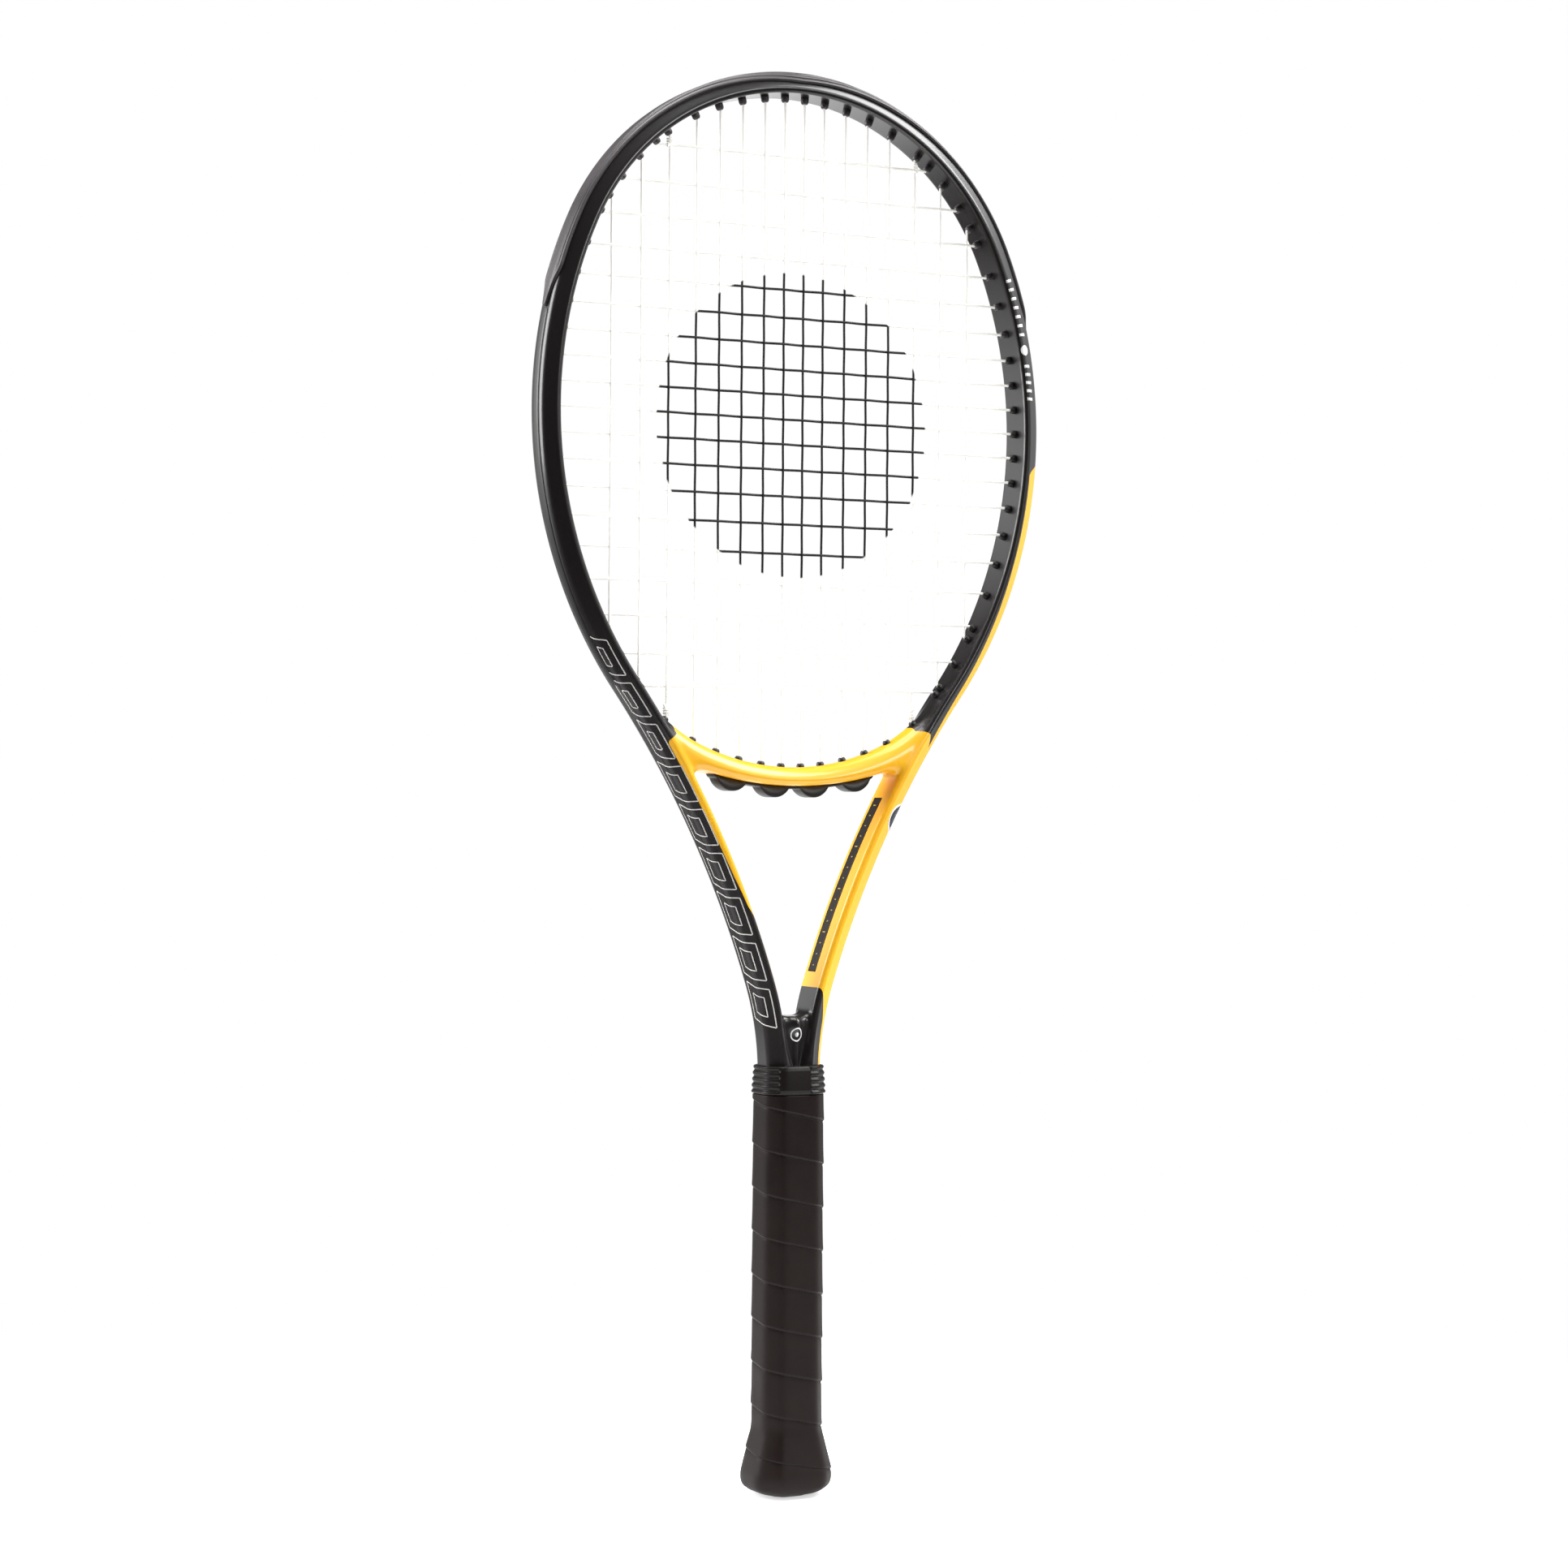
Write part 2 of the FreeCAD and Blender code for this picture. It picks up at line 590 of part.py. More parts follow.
slab = Part.makeBox(2 * STRIP_REACH, 2 * STRIP_HALF, 30.0, V(-STRIP_REACH, -STRIP_HALF, BRIDGE_LOW_Z - 10))
lobes = []
for x in LOBES:
    drop = BRIDGE_LOW_R + STRIP_WALL + LOBE_DROP - LOBE_R
    z = low_c.z - math.sqrt(drop * drop - x * x)
    for side in (1, -1):
        lobes.append(Part.makeCylinder(LOBE_R, 2 * STRIP_HALF, V(side * x, -STRIP_HALF, z), AXIS_Y))
under = join([low_disc(BRIDGE_LOW_R + STRIP_WALL).common(slab)] + lobes)
under = under.cut(low_disc(BRIDGE_LOW_R))
under = max(under.Solids, key=lambda solid: solid.Volume)
outside = low_disc(BRIDGE_LOW_R + 40).cut(low_disc(BRIDGE_LOW_R + 0.6))
throat_tubes = []
for tip, foot in BRIDGE_BARRELS:
    if tip.x < STRIP_REACH:
        along = foot.sub(tip)
        foot = foot.add(along.multiply(4.0 / along.Length))
    tube = rod(tip, foot, BARREL_R).cut(rod(tip, foot, BARREL_BORE)).cut(outside)
    tube = max(tube.Solids, key=lambda solid: solid.Volume)
    throat_tubes += [tube, mirrored(tube)]
save("grommet_strip_throat", join([under] + throat_tubes))

# String bed: mains in one layer, crosses just behind them
mains, crosses = [], []
for top, low in zip(MAIN_TOPS, MAIN_LOWS):
    string = rod(V(low[0].x, -STRING_R, low[0].z - 1.5), V(top[0].x, -STRING_R, top[0].z + 1.5), STRING_R)
    mains += [string, mirrored(string)]
for tip, foot in CROSS_ENDS:
    reach = tip.x + 1.5
    crosses.append(rod(V(-reach, STRING_R, tip.z), V(reach, STRING_R, tip.z), STRING_R))
save("main_strings", Part.makeCompound(mains))
save("cross_strings", Part.makeCompound(crosses))

knots = []
for index, side in ((5, 1), (5, -1)):
    for tip in (MAIN_TOPS[index][0], MAIN_LOWS[index][0]):
        drop = -4.0 if tip.z > 500 else 4.0
        knots.append(Part.makeSphere(1.7, V(side * tip.x, -STRING_R, tip.z + drop)))
save("string_knots", Part.makeCompound(knots))
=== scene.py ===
import bpy
import math
import numpy as np
from mathutils import Matrix, Vector


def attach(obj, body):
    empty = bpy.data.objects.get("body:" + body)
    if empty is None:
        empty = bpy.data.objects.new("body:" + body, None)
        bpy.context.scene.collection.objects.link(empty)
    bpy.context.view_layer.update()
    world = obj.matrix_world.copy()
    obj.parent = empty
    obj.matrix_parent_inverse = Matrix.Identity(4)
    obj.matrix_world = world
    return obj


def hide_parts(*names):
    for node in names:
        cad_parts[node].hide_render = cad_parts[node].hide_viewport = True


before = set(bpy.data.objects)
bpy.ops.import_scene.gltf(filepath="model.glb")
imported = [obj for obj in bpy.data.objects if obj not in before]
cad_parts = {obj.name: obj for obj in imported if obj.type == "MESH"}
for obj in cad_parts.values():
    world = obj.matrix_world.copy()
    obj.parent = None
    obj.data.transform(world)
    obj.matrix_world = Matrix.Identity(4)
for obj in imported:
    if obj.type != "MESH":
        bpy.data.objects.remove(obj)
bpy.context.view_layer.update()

MM = 0.001

# Millimetres, in the CAD model's frame: +Z up the racket, front is -Y. In the code s is the distance along
# the tube's centreline from the top of the head, and u is how far outwards of the centreline a place lies.
LENGTH = 685.8

# The tube: half width and depth, the roundings of its section, its path as radius and turn in degrees.
TUBE_A, TUBE_B = 4.55, 10.0
EDGE_R, SHOULDER_R, SHOULDER_Y = 2.0, 3.7, 4.0
BUMPER_WALL = 1.5
HALF_PATH = [(122.7, 66.2), (219.3, 59.8), (-505.3, 18.1), (-149.0, 17.9)]
TOP_Z = LENGTH - BUMPER_WALL - TUBE_A

# The throat: the bridge, the opening and the web, and how softly they join the tubes.
BRIDGE_TOP_Z, BRIDGE_TOP_R, BRIDGE_TOP_TURN = 351.0, 125.0, 22.6
BRIDGE_LOW_Z, BRIDGE_LOW_R, BRIDGE_HALF = 342.0, 175.0, 9.6
BRIDGE_TOP_ROUND, BRIDGE_LOW_ROUND, WEB_ROUND = 8.0, 4.0, 2.8
OPENING_Z, OPENING_LOW_ROUND, OPENING_TOP_ROUND, OPENING_SINK = 231.0, 7.0, 11.0, 1.95
WEB_HALF, WEB_FLANK, WEB_RIDGE, WEB_NOSE, NOSE_Z = 7.0, 9.7, 1.0, 1.8, 227.0
FRAME_LOW, BLEND = 195.0, 2.0

# Strings, half the mains from the middle outwards, and their barrels.
MAINS = [5.3, 16.1, 28.0, 40.2, 52.6, 67.0, 81.7, 97.1]
BRIDGE_MAINS, KNOTTED_MAIN = 6, 5
CROSSES, CROSS_TOP_Z, CROSS_GAP, CROSS_SPREAD, CROSS_MIDDLE = 19, 645.6, 11.95, 0.094, 8
STRING_R, KNOT_R = 0.6, 0.55
BARREL_R, BARREL_OUT, BRIDGE_OUT, BARREL_BORE = 1.95, 3.3, 1.8, 0.75
HEAD_BARREL, BRIDGE_BARREL = BARREL_OUT + 2.9, 4.5
INK_Z, INK_R, INK_SOFT = 516.0, 74.0, 0.8

# Bumper guard's end, taper, finely divided end and reach of whole grooves; each groove's distance from the
# lip and depth; the grommet strips.
BUMPER_END, BUMPER_TAPER, BUMPER_FINE, BUMPER_FULL = 187.2, 21.0, 30.0, 9.0
GROOVES, GROOVE_WIDTH = ((2.0, 0.6), (4.0, 0.5)), 0.3
BAND_WIDE, BAND_RISE = 3.3, 0.35
LOBES_LONG, LOBES_WIDE, LOBES_THICK = 43.5, 4.4, 1.5
LOBE_R, LOBE_DEEP, LOBE_PLACES = 9.0, 4.4, (10.55, 33.25)

# Edges of the yellow: places along the tube, and how far out they lie there.
BAND_RUN, BAND_OUT = (300.0, 370.0, 404.0, 560.0), (-0.93, 0.77, 2.1, 2.2)
LEFT_RUN, LEFT_OUT = (440.0, 464.0, 477.0, 492.0, 500.0), (-0.3, -0.9, -1.4, -2.6, -4.8)
BAND_START, LOBE_START, LEFT_START, YELLOW_END = 252.4, 397.6, 402.8, 534.5

# Handle: the octagon's half width, half depth and corner cut, how sharp its corners are, and its size by
# height at the flare.
WRAP, CORNER_POWER = (16.3, 14.2, 7.0), 18.0
FLARE = [(0.4, 0.61), (1.0, 0.77), (1.6, 0.91), (2.4, 1.05), (3.9, 1.20), (6.3, 1.275), (8.6, 1.295),
         (11.0, 1.295), (13.3, 1.265), (18.0, 1.205), (22.7, 1.14), (27.4, 1.075), (31.0, 1.02), (34.0, 1.0)]
WRAP_PITCH, WRAP_START, WRAP_SEAM, WRAP_STEP, WRAP_SINK = 21.0, 180.4, math.radians(332), 0.55, 0.25
WRAP_TOP = 199.0
COLLAR_LOW, COLLAR_TOP, COLLAR_RIBS = 193.7, 207.4, 4.5
PLATE_X, PLATE_HALF = -3.2, 7.6
BADGE_R = 7.5

# Printed marks: how many, where they start along the tube, their pitch.
BLOCKS, BLOCK_START, BLOCK_PITCH, BLOCK_GAP, BLOCK_LEAN, BLOCK_INSET = 9, 341.0, 23.4, 4.4, 5.5, (4.6, 3.4)
LABEL_START, LABEL_END = 435.6, 527.0
TICKS, TICK_START, TICK_PITCH = 16, 439.5, 5.6
OVAL_PLACE, EMBLEM_Z = 442.0, 222.3

# Studio and camera, in metres and degrees. A lobe of the surroundings: direction, cosines where it starts
# and is full, strength. A light: place, width, height, power.
WORLD_LEVEL = 0.06
WORLD_LOBES = [((0.35, 0.88, -0.25), 0.80, 0.97, 1.6),
               ((-0.5, 0.85, 0.1), 0.90, 0.99, 0.95),
               ((1.0, -0.05, 0.05), 0.78, 0.95, 1.0)]
LIGHTS = {"left_softbox": ((-1.7, 0.85, 0.98), 1.5, 1.3, 60.0),
          "right_softbox": ((1.55, -0.65, 2.0), 1.4, 1.3, 76.0),
          "top_softbox": ((-0.2, 0.1, 2.4), 1.4, 1.2, 50.0),
          "front_softbox": ((0.9, -2.6, 1.5), 0.9, 0.9, 28.0)}
LIGHT_AIM = Vector((0, 0, 0.38))
CAMERA_AZIMUTH, CAMERA_DISTANCE, CAMERA_HEIGHT, CAMERA_ROLL = -28.0, 1.6601, 0.3374, 0.38
CAMERA_LENS, CAMERA_SHIFT = 78.84, (-0.00404, 0.0073)


# ---- the frame's centreline

def path_arcs():
    """Half the centreline as arcs: centre, signed radius, headings, distance from the top."""
    x, z, heading, run = 0.0, TOP_Z, 0.0, 0.0
    arcs = []
    for radius, turn in HALF_PATH:
        cx = x - radius * math.sin(heading)
        cz = z - radius * math.cos(heading)
        end = heading + math.copysign(math.radians(turn), radius)
        length = abs(radius) * math.radians(turn)
        arcs.append((cx, cz, radius, heading, end, run, length))
        x, z = cx + radius * math.sin(end), cz + radius * math.cos(end)
        heading, run = end, run + length
    return arcs, (x, z), run


ARCS, TUBE_END, PATH_LENGTH = path_arcs()
LIMB_END = ARCS[1][5] + ARCS[1][6]


def on_path(s, out):
    """Points of the right half at distances s from the top, moved outwards; and their headings."""
    x, z, h = np.zeros(s.shape), np.zeros(s.shape), np.zeros(s.shape)
    for cx, cz, radius, start, _, run, _ in ARCS:
        here = s >= run
        turn = start + (s - run) / radius
        x = np.where(here, cx + (radius + out) * np.sin(turn), x)
        z = np.where(here, cz + (radius + out) * np.cos(turn), z)
        h = np.where(here, turn, h)
    straight = s > PATH_LENGTH
    x = np.where(straight, TUBE_END[0] + out, x)
    z = np.where(straight, TUBE_END[1] - (s - PATH_LENGTH), z)
    h = np.where(straight, math.pi / 2, h)
    return x, z, h


def path_coords(x, z):
    """For points of the plane: distance along the centreline and how far outwards they lie."""
    x = np.abs(x)
    best = np.full(x.shape, 1e9)
    s, u = np.zeros(x.shape), np.zeros(x.shape)
    for cx, cz, radius, start, _, run, length in ARCS:
        sign = math.copysign(1, radius)
        dx, dz = (x - cx) * sign, (z - cz) * sign
        turn = np.arctan2(dx, dz)
        off = sign * np.hypot(dx, dz) - radius
        along = np.clip((turn - start) * sign * abs(radius), 0, length)
        at_x = cx + radius * np.sin(start + along / radius)
        at_z = cz + radius * np.cos(start + along / radius)
        far = np.hypot(x - at_x, z - at_z)
        closer = far < best - 1e-6
        best = np.where(closer, far, best)
        s, u = np.where(closer, run + along, s), np.where(closer, off, u)
    low = z < TUBE_END[1]
    s = np.where(low, PATH_LENGTH + TUBE_END[1] - z, s)
    return s, np.where(low, x - TUBE_END[0], u)


# ---- the tube's section

EDGE = np.array([EDGE_R - TUBE_A, TUBE_B - EDGE_R])
SHOULDER = np.array([TUBE_A - SHOULDER_R, SHOULDER_Y])
TILT = (math.atan2(EDGE[1] - SHOULDER[1], EDGE[0] - SHOULDER[0])
        - math.acos((SHOULDER_R - EDGE_R) / np.hypot(*(EDGE - SHOULDER))))


def section_distance(u, y):
    """Distance from the tube's surface in its section, negative inside."""
    y = np.abs(y)
    cos, sin = math.cos(TILT), math.sin(TILT)
    (edge_u, edge_y), (shoulder_u, shoulder_y) = EDGE, SHOULDER
    flat = cos * (u - edge_u) + sin * (y - edge_y) - EDGE_R
    hull = np.maximum(np.maximum(-TUBE_A - u, u - TUBE_A), flat)
    past_edge = cos * (y - edge_y) - sin * (u - edge_u)
    past_shoulder = cos * (y - shoulder_y) - sin * (u - shoulder_u)
    edge = np.hypot(u - edge_u, y - edge_y) - EDGE_R
    shoulder = np.hypot(u - shoulder_u, y - shoulder_y) - SHOULDER_R
    hull = np.where((past_edge > 0) & (y > edge_y), edge, hull)
    return np.where((past_shoulder < 0) & (y > shoulder_y), shoulder, hull)


def section_outline(count):
    """Places, normals' angles and distances round the section's front half, from its outer middle."""
    half = [(TUBE_A, 0.0, 0.0)]
    for (u, y), radius, first, last in ((SHOULDER, SHOULDER_R, 0.0, TILT), (EDGE, EDGE_R, TILT, math.pi)):
        for angle in np.linspace(first, last, 24):
            half.append((u + radius * math.cos(angle), y + radius * math.sin(angle), angle))
    half = np.array(half + [(-TUBE_A, 0.0, math.pi)])
    run = np.r_[0, np.cumsum(np.hypot(*np.diff(half[:, :2], axis=0).T))]
    at = np.linspace(0, run[-1], count)
    u, y, angle = (np.interp(at, run, half[:, k]) for k in range(3))
    return u, -y, angle, at


# ---- mesh helpers

def full_turn(count):
    """Angles evenly round a turn."""
    return np.linspace(0, math.tau, count, endpoint=False)


def unit(vectors):
    """The same directions with length 1."""
    return vectors / np.linalg.norm(vectors, axis=-1, keepdims=True)


def link(name, data):
    """A new object in the scene."""
    thing = bpy.data.objects.new(name, data)
    bpy.context.scene.collection.objects.link(thing)
    return thing


def add_mesh(name, points, faces, material):
    """A smooth mesh piece from points in millimetres."""
    mesh = bpy.data.meshes.new(name)
    mesh.from_pydata((np.asarray(points) * MM).tolist(), [], [list(map(int, face)) for face in faces])
    mesh.validate()
    mesh.update()
    mesh.polygons.foreach_set("use_smooth", [True] * len(mesh.polygons))
    mesh.materials.append(material)
    return link(name, mesh)


def grid_faces(rows, cols, close_rows=False, first=0):
    """Quads between rows of points that are closed loops."""
    faces = []
    for i in range(rows if close_rows else rows - 1):
        for j in range(cols):
            k, m = (i + 1) % rows, (j + 1) % cols
            corners = (i * cols + j, i * cols + m, k * cols + m, k * cols + j)
            faces.append(tuple(first + corner for corner in corners))
    return faces


class Builder:
    """Collects grids of points into one mesh."""

    def __init__(self):
        self.points, self.faces, self.count = [], [], 0

    def ring(self, points):
        """Rows of points closed both ways."""
        points = np.asarray(points, float)
        self.add(points, grid_faces(*points.shape[:2], True, self.count))

    def solid(self, points, flip=False):
        """Rows that are closed loops, with a cap over the first and the last."""
        points = np.asarray(points, float)
        rows, cols = points.shape[:2]
        faces = grid_faces(rows, cols, False, self.count)
        faces.append(tuple(self.count + j for j in reversed(range(cols))))
        faces.append(tuple(self.count + (rows - 1) * cols + j for j in range(cols)))
        self.add(points, [face[::-1] for face in faces] if flip else faces)

    def add(self, points, faces):
        self.points.append(points.reshape(-1, 3))
        self.faces += faces
        self.count += len(self.points[-1])

    def finish(self, name, material, slot, *nodes):
        """Makes the piece and finishes it."""
        finish(add_mesh(name, np.vstack(self.points), self.faces, material), slot, *nodes)


def tube_along(line, radius):
    """Rings of points round a line."""
    tangent = unit(np.gradient(line, axis=0))
    across = np.cross(tangent, (0, 1, 0))
    across[np.linalg.norm(across, axis=1) < 0.05] = (1, 0, 0)
    across = unit(across)
    up = np.cross(across, tangent)
    turn = full_turn(8)[:, None]
    ring = np.cos(turn) * across[:, None] + np.sin(turn) * up[:, None]
    return line[:, None] + ring * radius


def finish(piece, slot, *nodes):
    """A piece rides on the body and stands for its CAD nodes, which it hides; slot is not used."""
    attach(piece, "root")
    if nodes:
        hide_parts(*nodes)


# ---- materials

def nodes_of(name, base, roughness, coat=0.0, metallic=0.0, specular=0.5):
    """A Principled material; returns the material, its nodes, links and shader."""
    material = bpy.data.materials.new(name)
    material.use_nodes = True
    tree = material.node_tree
    shader = tree.nodes["Principled BSDF"]
    shader.inputs["Base Color"].default_value = (*base, 1)
    shader.inputs["Roughness"].default_value = roughness
    shader.inputs["Coat Weight"].default_value = coat
    shader.inputs["Coat Roughness"].default_value = 0.06
    shader.inputs["Metallic"].default_value = metallic
    shader.inputs["Specular IOR Level"].default_value = specular
    return material, tree.nodes, tree.links, shader


def add_noise(nodes, links, scale, detail=3.0):
    """Noise in object space."""
    where = nodes.new("ShaderNodeTexCoord")
    noise = nodes.new("ShaderNodeTexNoise")
    noise.inputs["Scale"].default_value = scale
    noise.inputs["Detail"].default_value = detail
    links.new(where.outputs["Object"], noise.inputs["Vector"])
    return noise.outputs["Fac"]


def add_ramp(nodes, links, source, low, high):
    """A ramp between two colours or greys."""
    ramp = nodes.new("ShaderNodeValToRGB")
    ramp.color_ramp.elements[0].position, ramp.color_ramp.elements[1].position = low[0], high[0]
    ramp.color_ramp.elements[0].color = (*low[1], 1)
    ramp.color_ramp.elements[1].color = (*high[1], 1)
    links.new(source, ramp.inputs["Fac"])
    return ramp.outputs["Color"]


def add_bump(nodes, links, shader, height, strength, distance):
    """A bump on the shader's normal."""
    bump = nodes.new("ShaderNodeBump")
    bump.inputs["Strength"].default_value = strength
    bump.inputs["Distance"].default_value = distance
    links.new(height, bump.inputs["Height"])
    links.new(bump.outputs["Normal"], shader.inputs["Normal"])


def add_range(nodes, links, source, low, high, ends=(0.0, 1.0), kind="LINEAR"):
    """Maps a value's span from low to high onto ends."""
    span = nodes.new("ShaderNodeMapRange")
    span.interpolation_type = kind
    span.inputs["From Min"].default_value, span.inputs["From Max"].default_value = low, high
    span.inputs["To Min"].default_value, span.inputs["To Max"].default_value = ends
    links.new(source, span.inputs["Value"])
    return span.outputs["Result"]


def add_distance(nodes, links, centre=(0, 0, 0)):
    """Distance from a centre in object space, in metres."""
    where = nodes.new("ShaderNodeTexCoord")
    size = nodes.new("ShaderNodeVectorMath")
    size.operation = "DISTANCE"
    size.inputs[1].default_value = centre
    links.new(where.outputs["Object"], size.inputs[0])
    return size.outputs["Value"]


def add_mix(nodes, links, factor, first, second):
    """A mix of two colours."""
    mix = nodes.new("ShaderNodeMix")
    mix.data_type = "RGBA"
    links.new(factor, mix.inputs["Factor"])
    links.new(first, mix.inputs["A"])
    links.new(second, mix.inputs["B"])
    return mix.outputs["Result"]


def plain_material(name, base, roughness, vary=0.25, grain=900.0, bump=0.15, depth=0.00006, **extra):
    """A moulded surface: slight colour and gloss variation over a fine grain."""
    material, nodes, links, shader = nodes_of(name, base, roughness, **extra)
    wide = add_noise(nodes, links, 45.0)
    dark = tuple(channel * (1 - vary) for channel in base)
    light = tuple(min(1.0, channel * (1 + vary)) for channel in base)
    colour = add_ramp(nodes, links, wide, (0.3, dark), (0.7, light))
    links.new(colour, shader.inputs["Base Color"])
    rough = add_ramp(nodes, links, wide, (0.3, (roughness * 0.9,) * 3),
                     (0.7, (min(1.0, roughness * 1.12),) * 3))
    links.new(rough, shader.inputs["Roughness"])
    fine = add_noise(nodes, links, grain, 2.0)
    add_bump(nodes, links, shader, fine, bump, depth)
    return material


def frame_paint():
    """Gloss lacquer, black and yellow; the attribute paint is the distance from the edge of the yellow."""
    material, nodes, links, shader = nodes_of("frame_lacquer", (0.02, 0.02, 0.02), 0.36, 0.4, specular=0.4)
    shader.inputs["Coat Roughness"].default_value = 0.13
    paint = nodes.new("ShaderNodeAttribute")
    paint.attribute_name = "paint"
    edge = add_range(nodes, links, paint.outputs["Fac"], -0.12, 0.12, (1.0, 0.0))
    fleck = add_noise(nodes, links, 2600.0, 2.0)
    wide = add_noise(nodes, links, 14.0, 2.0)
    black = add_ramp(nodes, links, fleck,
                     (0.35, (0.006, 0.0045, 0.0045)), (0.75, (0.014, 0.011, 0.011)))
    yellow = add_ramp(nodes, links, wide,
                      (0.3, (0.96, 0.47, 0.012)), (0.7, (0.98, 0.515, 0.018)))
    links.new(add_mix(nodes, links, edge, black, yellow), shader.inputs["Base Color"])
    peel = add_noise(nodes, links, 420.0, 1.0)
    add_bump(nodes, links, shader, peel, 0.05, 0.00004)
    return material


def string_material():
    """Pale synthetic gut with a round black ink patch in the middle of the head; the gut also glows faintly,
    a painted glow that brightens the strings.
    """
    material, nodes, links, shader = nodes_of("string_gut_and_glow", (0.86, 0.85, 0.80), 0.4, specular=0.25)
    wobble = add_noise(nodes, links, 180.0, 2.0)
    reach = nodes.new("ShaderNodeMath")
    reach.operation = "MULTIPLY_ADD"
    reach.inputs[1].default_value = 0.0016
    links.new(wobble, reach.inputs[0])
    links.new(add_distance(nodes, links, (0, 0, INK_Z * MM)), reach.inputs[2])
    edge = add_range(nodes, links, reach.outputs["Value"], INK_R * MM, (INK_R + INK_SOFT) * MM)
    ink = nodes.new("ShaderNodeRGB")
    ink.outputs["Color"].default_value = (0.008, 0.008, 0.008, 1)
    twist = add_noise(nodes, links, 1500.0, 2.0)
    gut = add_ramp(nodes, links, twist, (0.3, (0.80, 0.79, 0.74)), (0.7, (0.90, 0.89, 0.86)))
    colour = add_mix(nodes, links, edge, ink.outputs["Color"], gut)
    links.new(colour, shader.inputs["Base Color"])
    # The same colour drives emission: a painted glow on the gut, which is no lamp; the ink patch stays dark.
    links.new(colour, shader.inputs["Emission Color"])
    shader.inputs["Emission Strength"].default_value = 0.3
    add_bump(nodes, links, shader, twist, 0.2, 0.00008)
    return material


LACQUER = frame_paint()
STRING_MAT = string_material()

# Colour, roughness, how much both vary, grain per metre, bump and its depth in metres.
BUMPER_MAT = plain_material("bumper_nylon", (0.058, 0.052, 0.056), 0.4, 0.12, 1400.0, 0.12)
GROMMET_MAT = plain_material("grommet_nylon", (0.008, 0.007, 0.007), 0.45, 0.2, 1400.0, 0.1)
COLLAR_MAT = plain_material("collar_rubber", (0.0075, 0.0055, 0.005), 0.4, 0.15, 1700.0, 0.25, specular=0.17)
CAP_MAT = plain_material("cap_plastic", (0.009, 0.0075, 0.007), 0.5, 0.15, 1700.0, 0.3, specular=0.2)
GRIP_MAT = plain_material("grip_tape", (0.009, 0.0048, 0.0045), 0.5, 0.16, 2300.0, 0.35, 9e-5, specular=0.14)
LABEL_MAT = plain_material("label_print", (0.010, 0.006, 0.004), 0.4, 0.1, 900.0, 0.05, specular=0.2)
PRINT_MAT = plain_material("silver_print", (0.62, 0.60, 0.58), 0.4, 0.06, 900.0, 0.05)
WHITE_MAT = plain_material("white_print", (0.85, 0.85, 0.85), 0.4, 0.04, 900.0, 0.05)
GOLD_MAT = plain_material("gold_print", (0.55, 0.36, 0.08), 0.4, 0.1, 900.0, 0.05)
OVAL_MAT = plain_material("oval_print_ink", (0.02, 0.03, 0.04), 0.3, 0.15, 900.0, 0.05)
FOAM_MAT = plain_material("pallet_foam", (0.30, 0.27, 0.20), 0.8, 0.12, 700.0, 0.5)
COMPOSITE_MAT = plain_material("bare_composite", (0.03, 0.03, 0.03), 0.45, 0.3, 1100.0, 0.3)
STEEL_MAT = plain_material("staple_wire", (0.55, 0.55, 0.56), 0.3, 0.1, 900.0, 0.1, metallic=1.0)
TAPE_MAT = plain_material("vinyl_tape", (0.02, 0.02, 0.02), 0.5, 0.2, 1500.0, 0.2)


# ---- the frame as one moulding

BRIDGE_C = np.array([0.0, BRIDGE_TOP_Z + BRIDGE_TOP_R])
LOW_C = np.array([0.0, BRIDGE_LOW_Z + BRIDGE_LOW_R])
LIMB_C, LIMB_R = np.array(ARCS[1][:2]), ARCS[1][2] - TUBE_A


def side_arc():
    """The arc that joins the bridge's top to the inner edge of the tube: centre, radius, last turn."""
    turn = math.radians(BRIDGE_TOP_TURN)
    way = np.array([math.sin(turn), -math.cos(turn)])
    off, gap = BRIDGE_C - LIMB_C, LIMB_R - BRIDGE_TOP_R
    step = (gap * gap - off @ off) / (2 * (off @ way - gap))
    centre = BRIDGE_C + step * way
    return centre, BRIDGE_TOP_R - step, math.atan2(centre[0] - LIMB_C[0], LIMB_C[1] - centre[1])


SIDE_C, SIDE_R, SIDE_TURN = side_arc()


def above_bridge(x, z):
    """How far a point is inside the head's inner edge, near the bridge."""
    x = np.abs(x)
    middle = BRIDGE_TOP_R - np.hypot(x - BRIDGE_C[0], z - BRIDGE_C[1])
    side = SIDE_R - np.hypot(x - SIDE_C[0], z - SIDE_C[1])
    limb = LIMB_R - np.hypot(x - LIMB_C[0], z - LIMB_C[1])
    turn_a = np.arctan2(x - BRIDGE_C[0], np.maximum(BRIDGE_C[1] - z, 0.1))
    turn_b = np.arctan2(x - SIDE_C[0], SIDE_C[1] - z)
    low = np.where(turn_b < SIDE_TURN, side, limb + np.clip((turn_b - SIDE_TURN) * 8, 0, 1.5))
    value = np.where(turn_a < math.radians(BRIDGE_TOP_TURN), middle, low)
    return np.where(z > BRIDGE_TOP_Z + 55, 20.0, value)


def round_max(parts, radius):
    """The intersection of regions, with its corners rounded."""
    parts = np.stack([part + radius for part in parts])
    return np.linalg.norm(np.maximum(parts, 0), axis=0) + np.minimum(parts.max(0), 0) - radius


def infill_plan(x, z):
    """Seen from the front: how far a point lies outwards, above the bridge and into the throat opening."""
    u = path_coords(x, z)[1]
    under = np.hypot(x - LOW_C[0], z - LOW_C[1]) - BRIDGE_LOW_R
    corner = np.where(z > 300, OPENING_TOP_ROUND, OPENING_LOW_ROUND)
    opening = round_max([u + TUBE_A - OPENING_SINK, -under, OPENING_Z - z], corner)
    return u, above_bridge(x, z), -opening


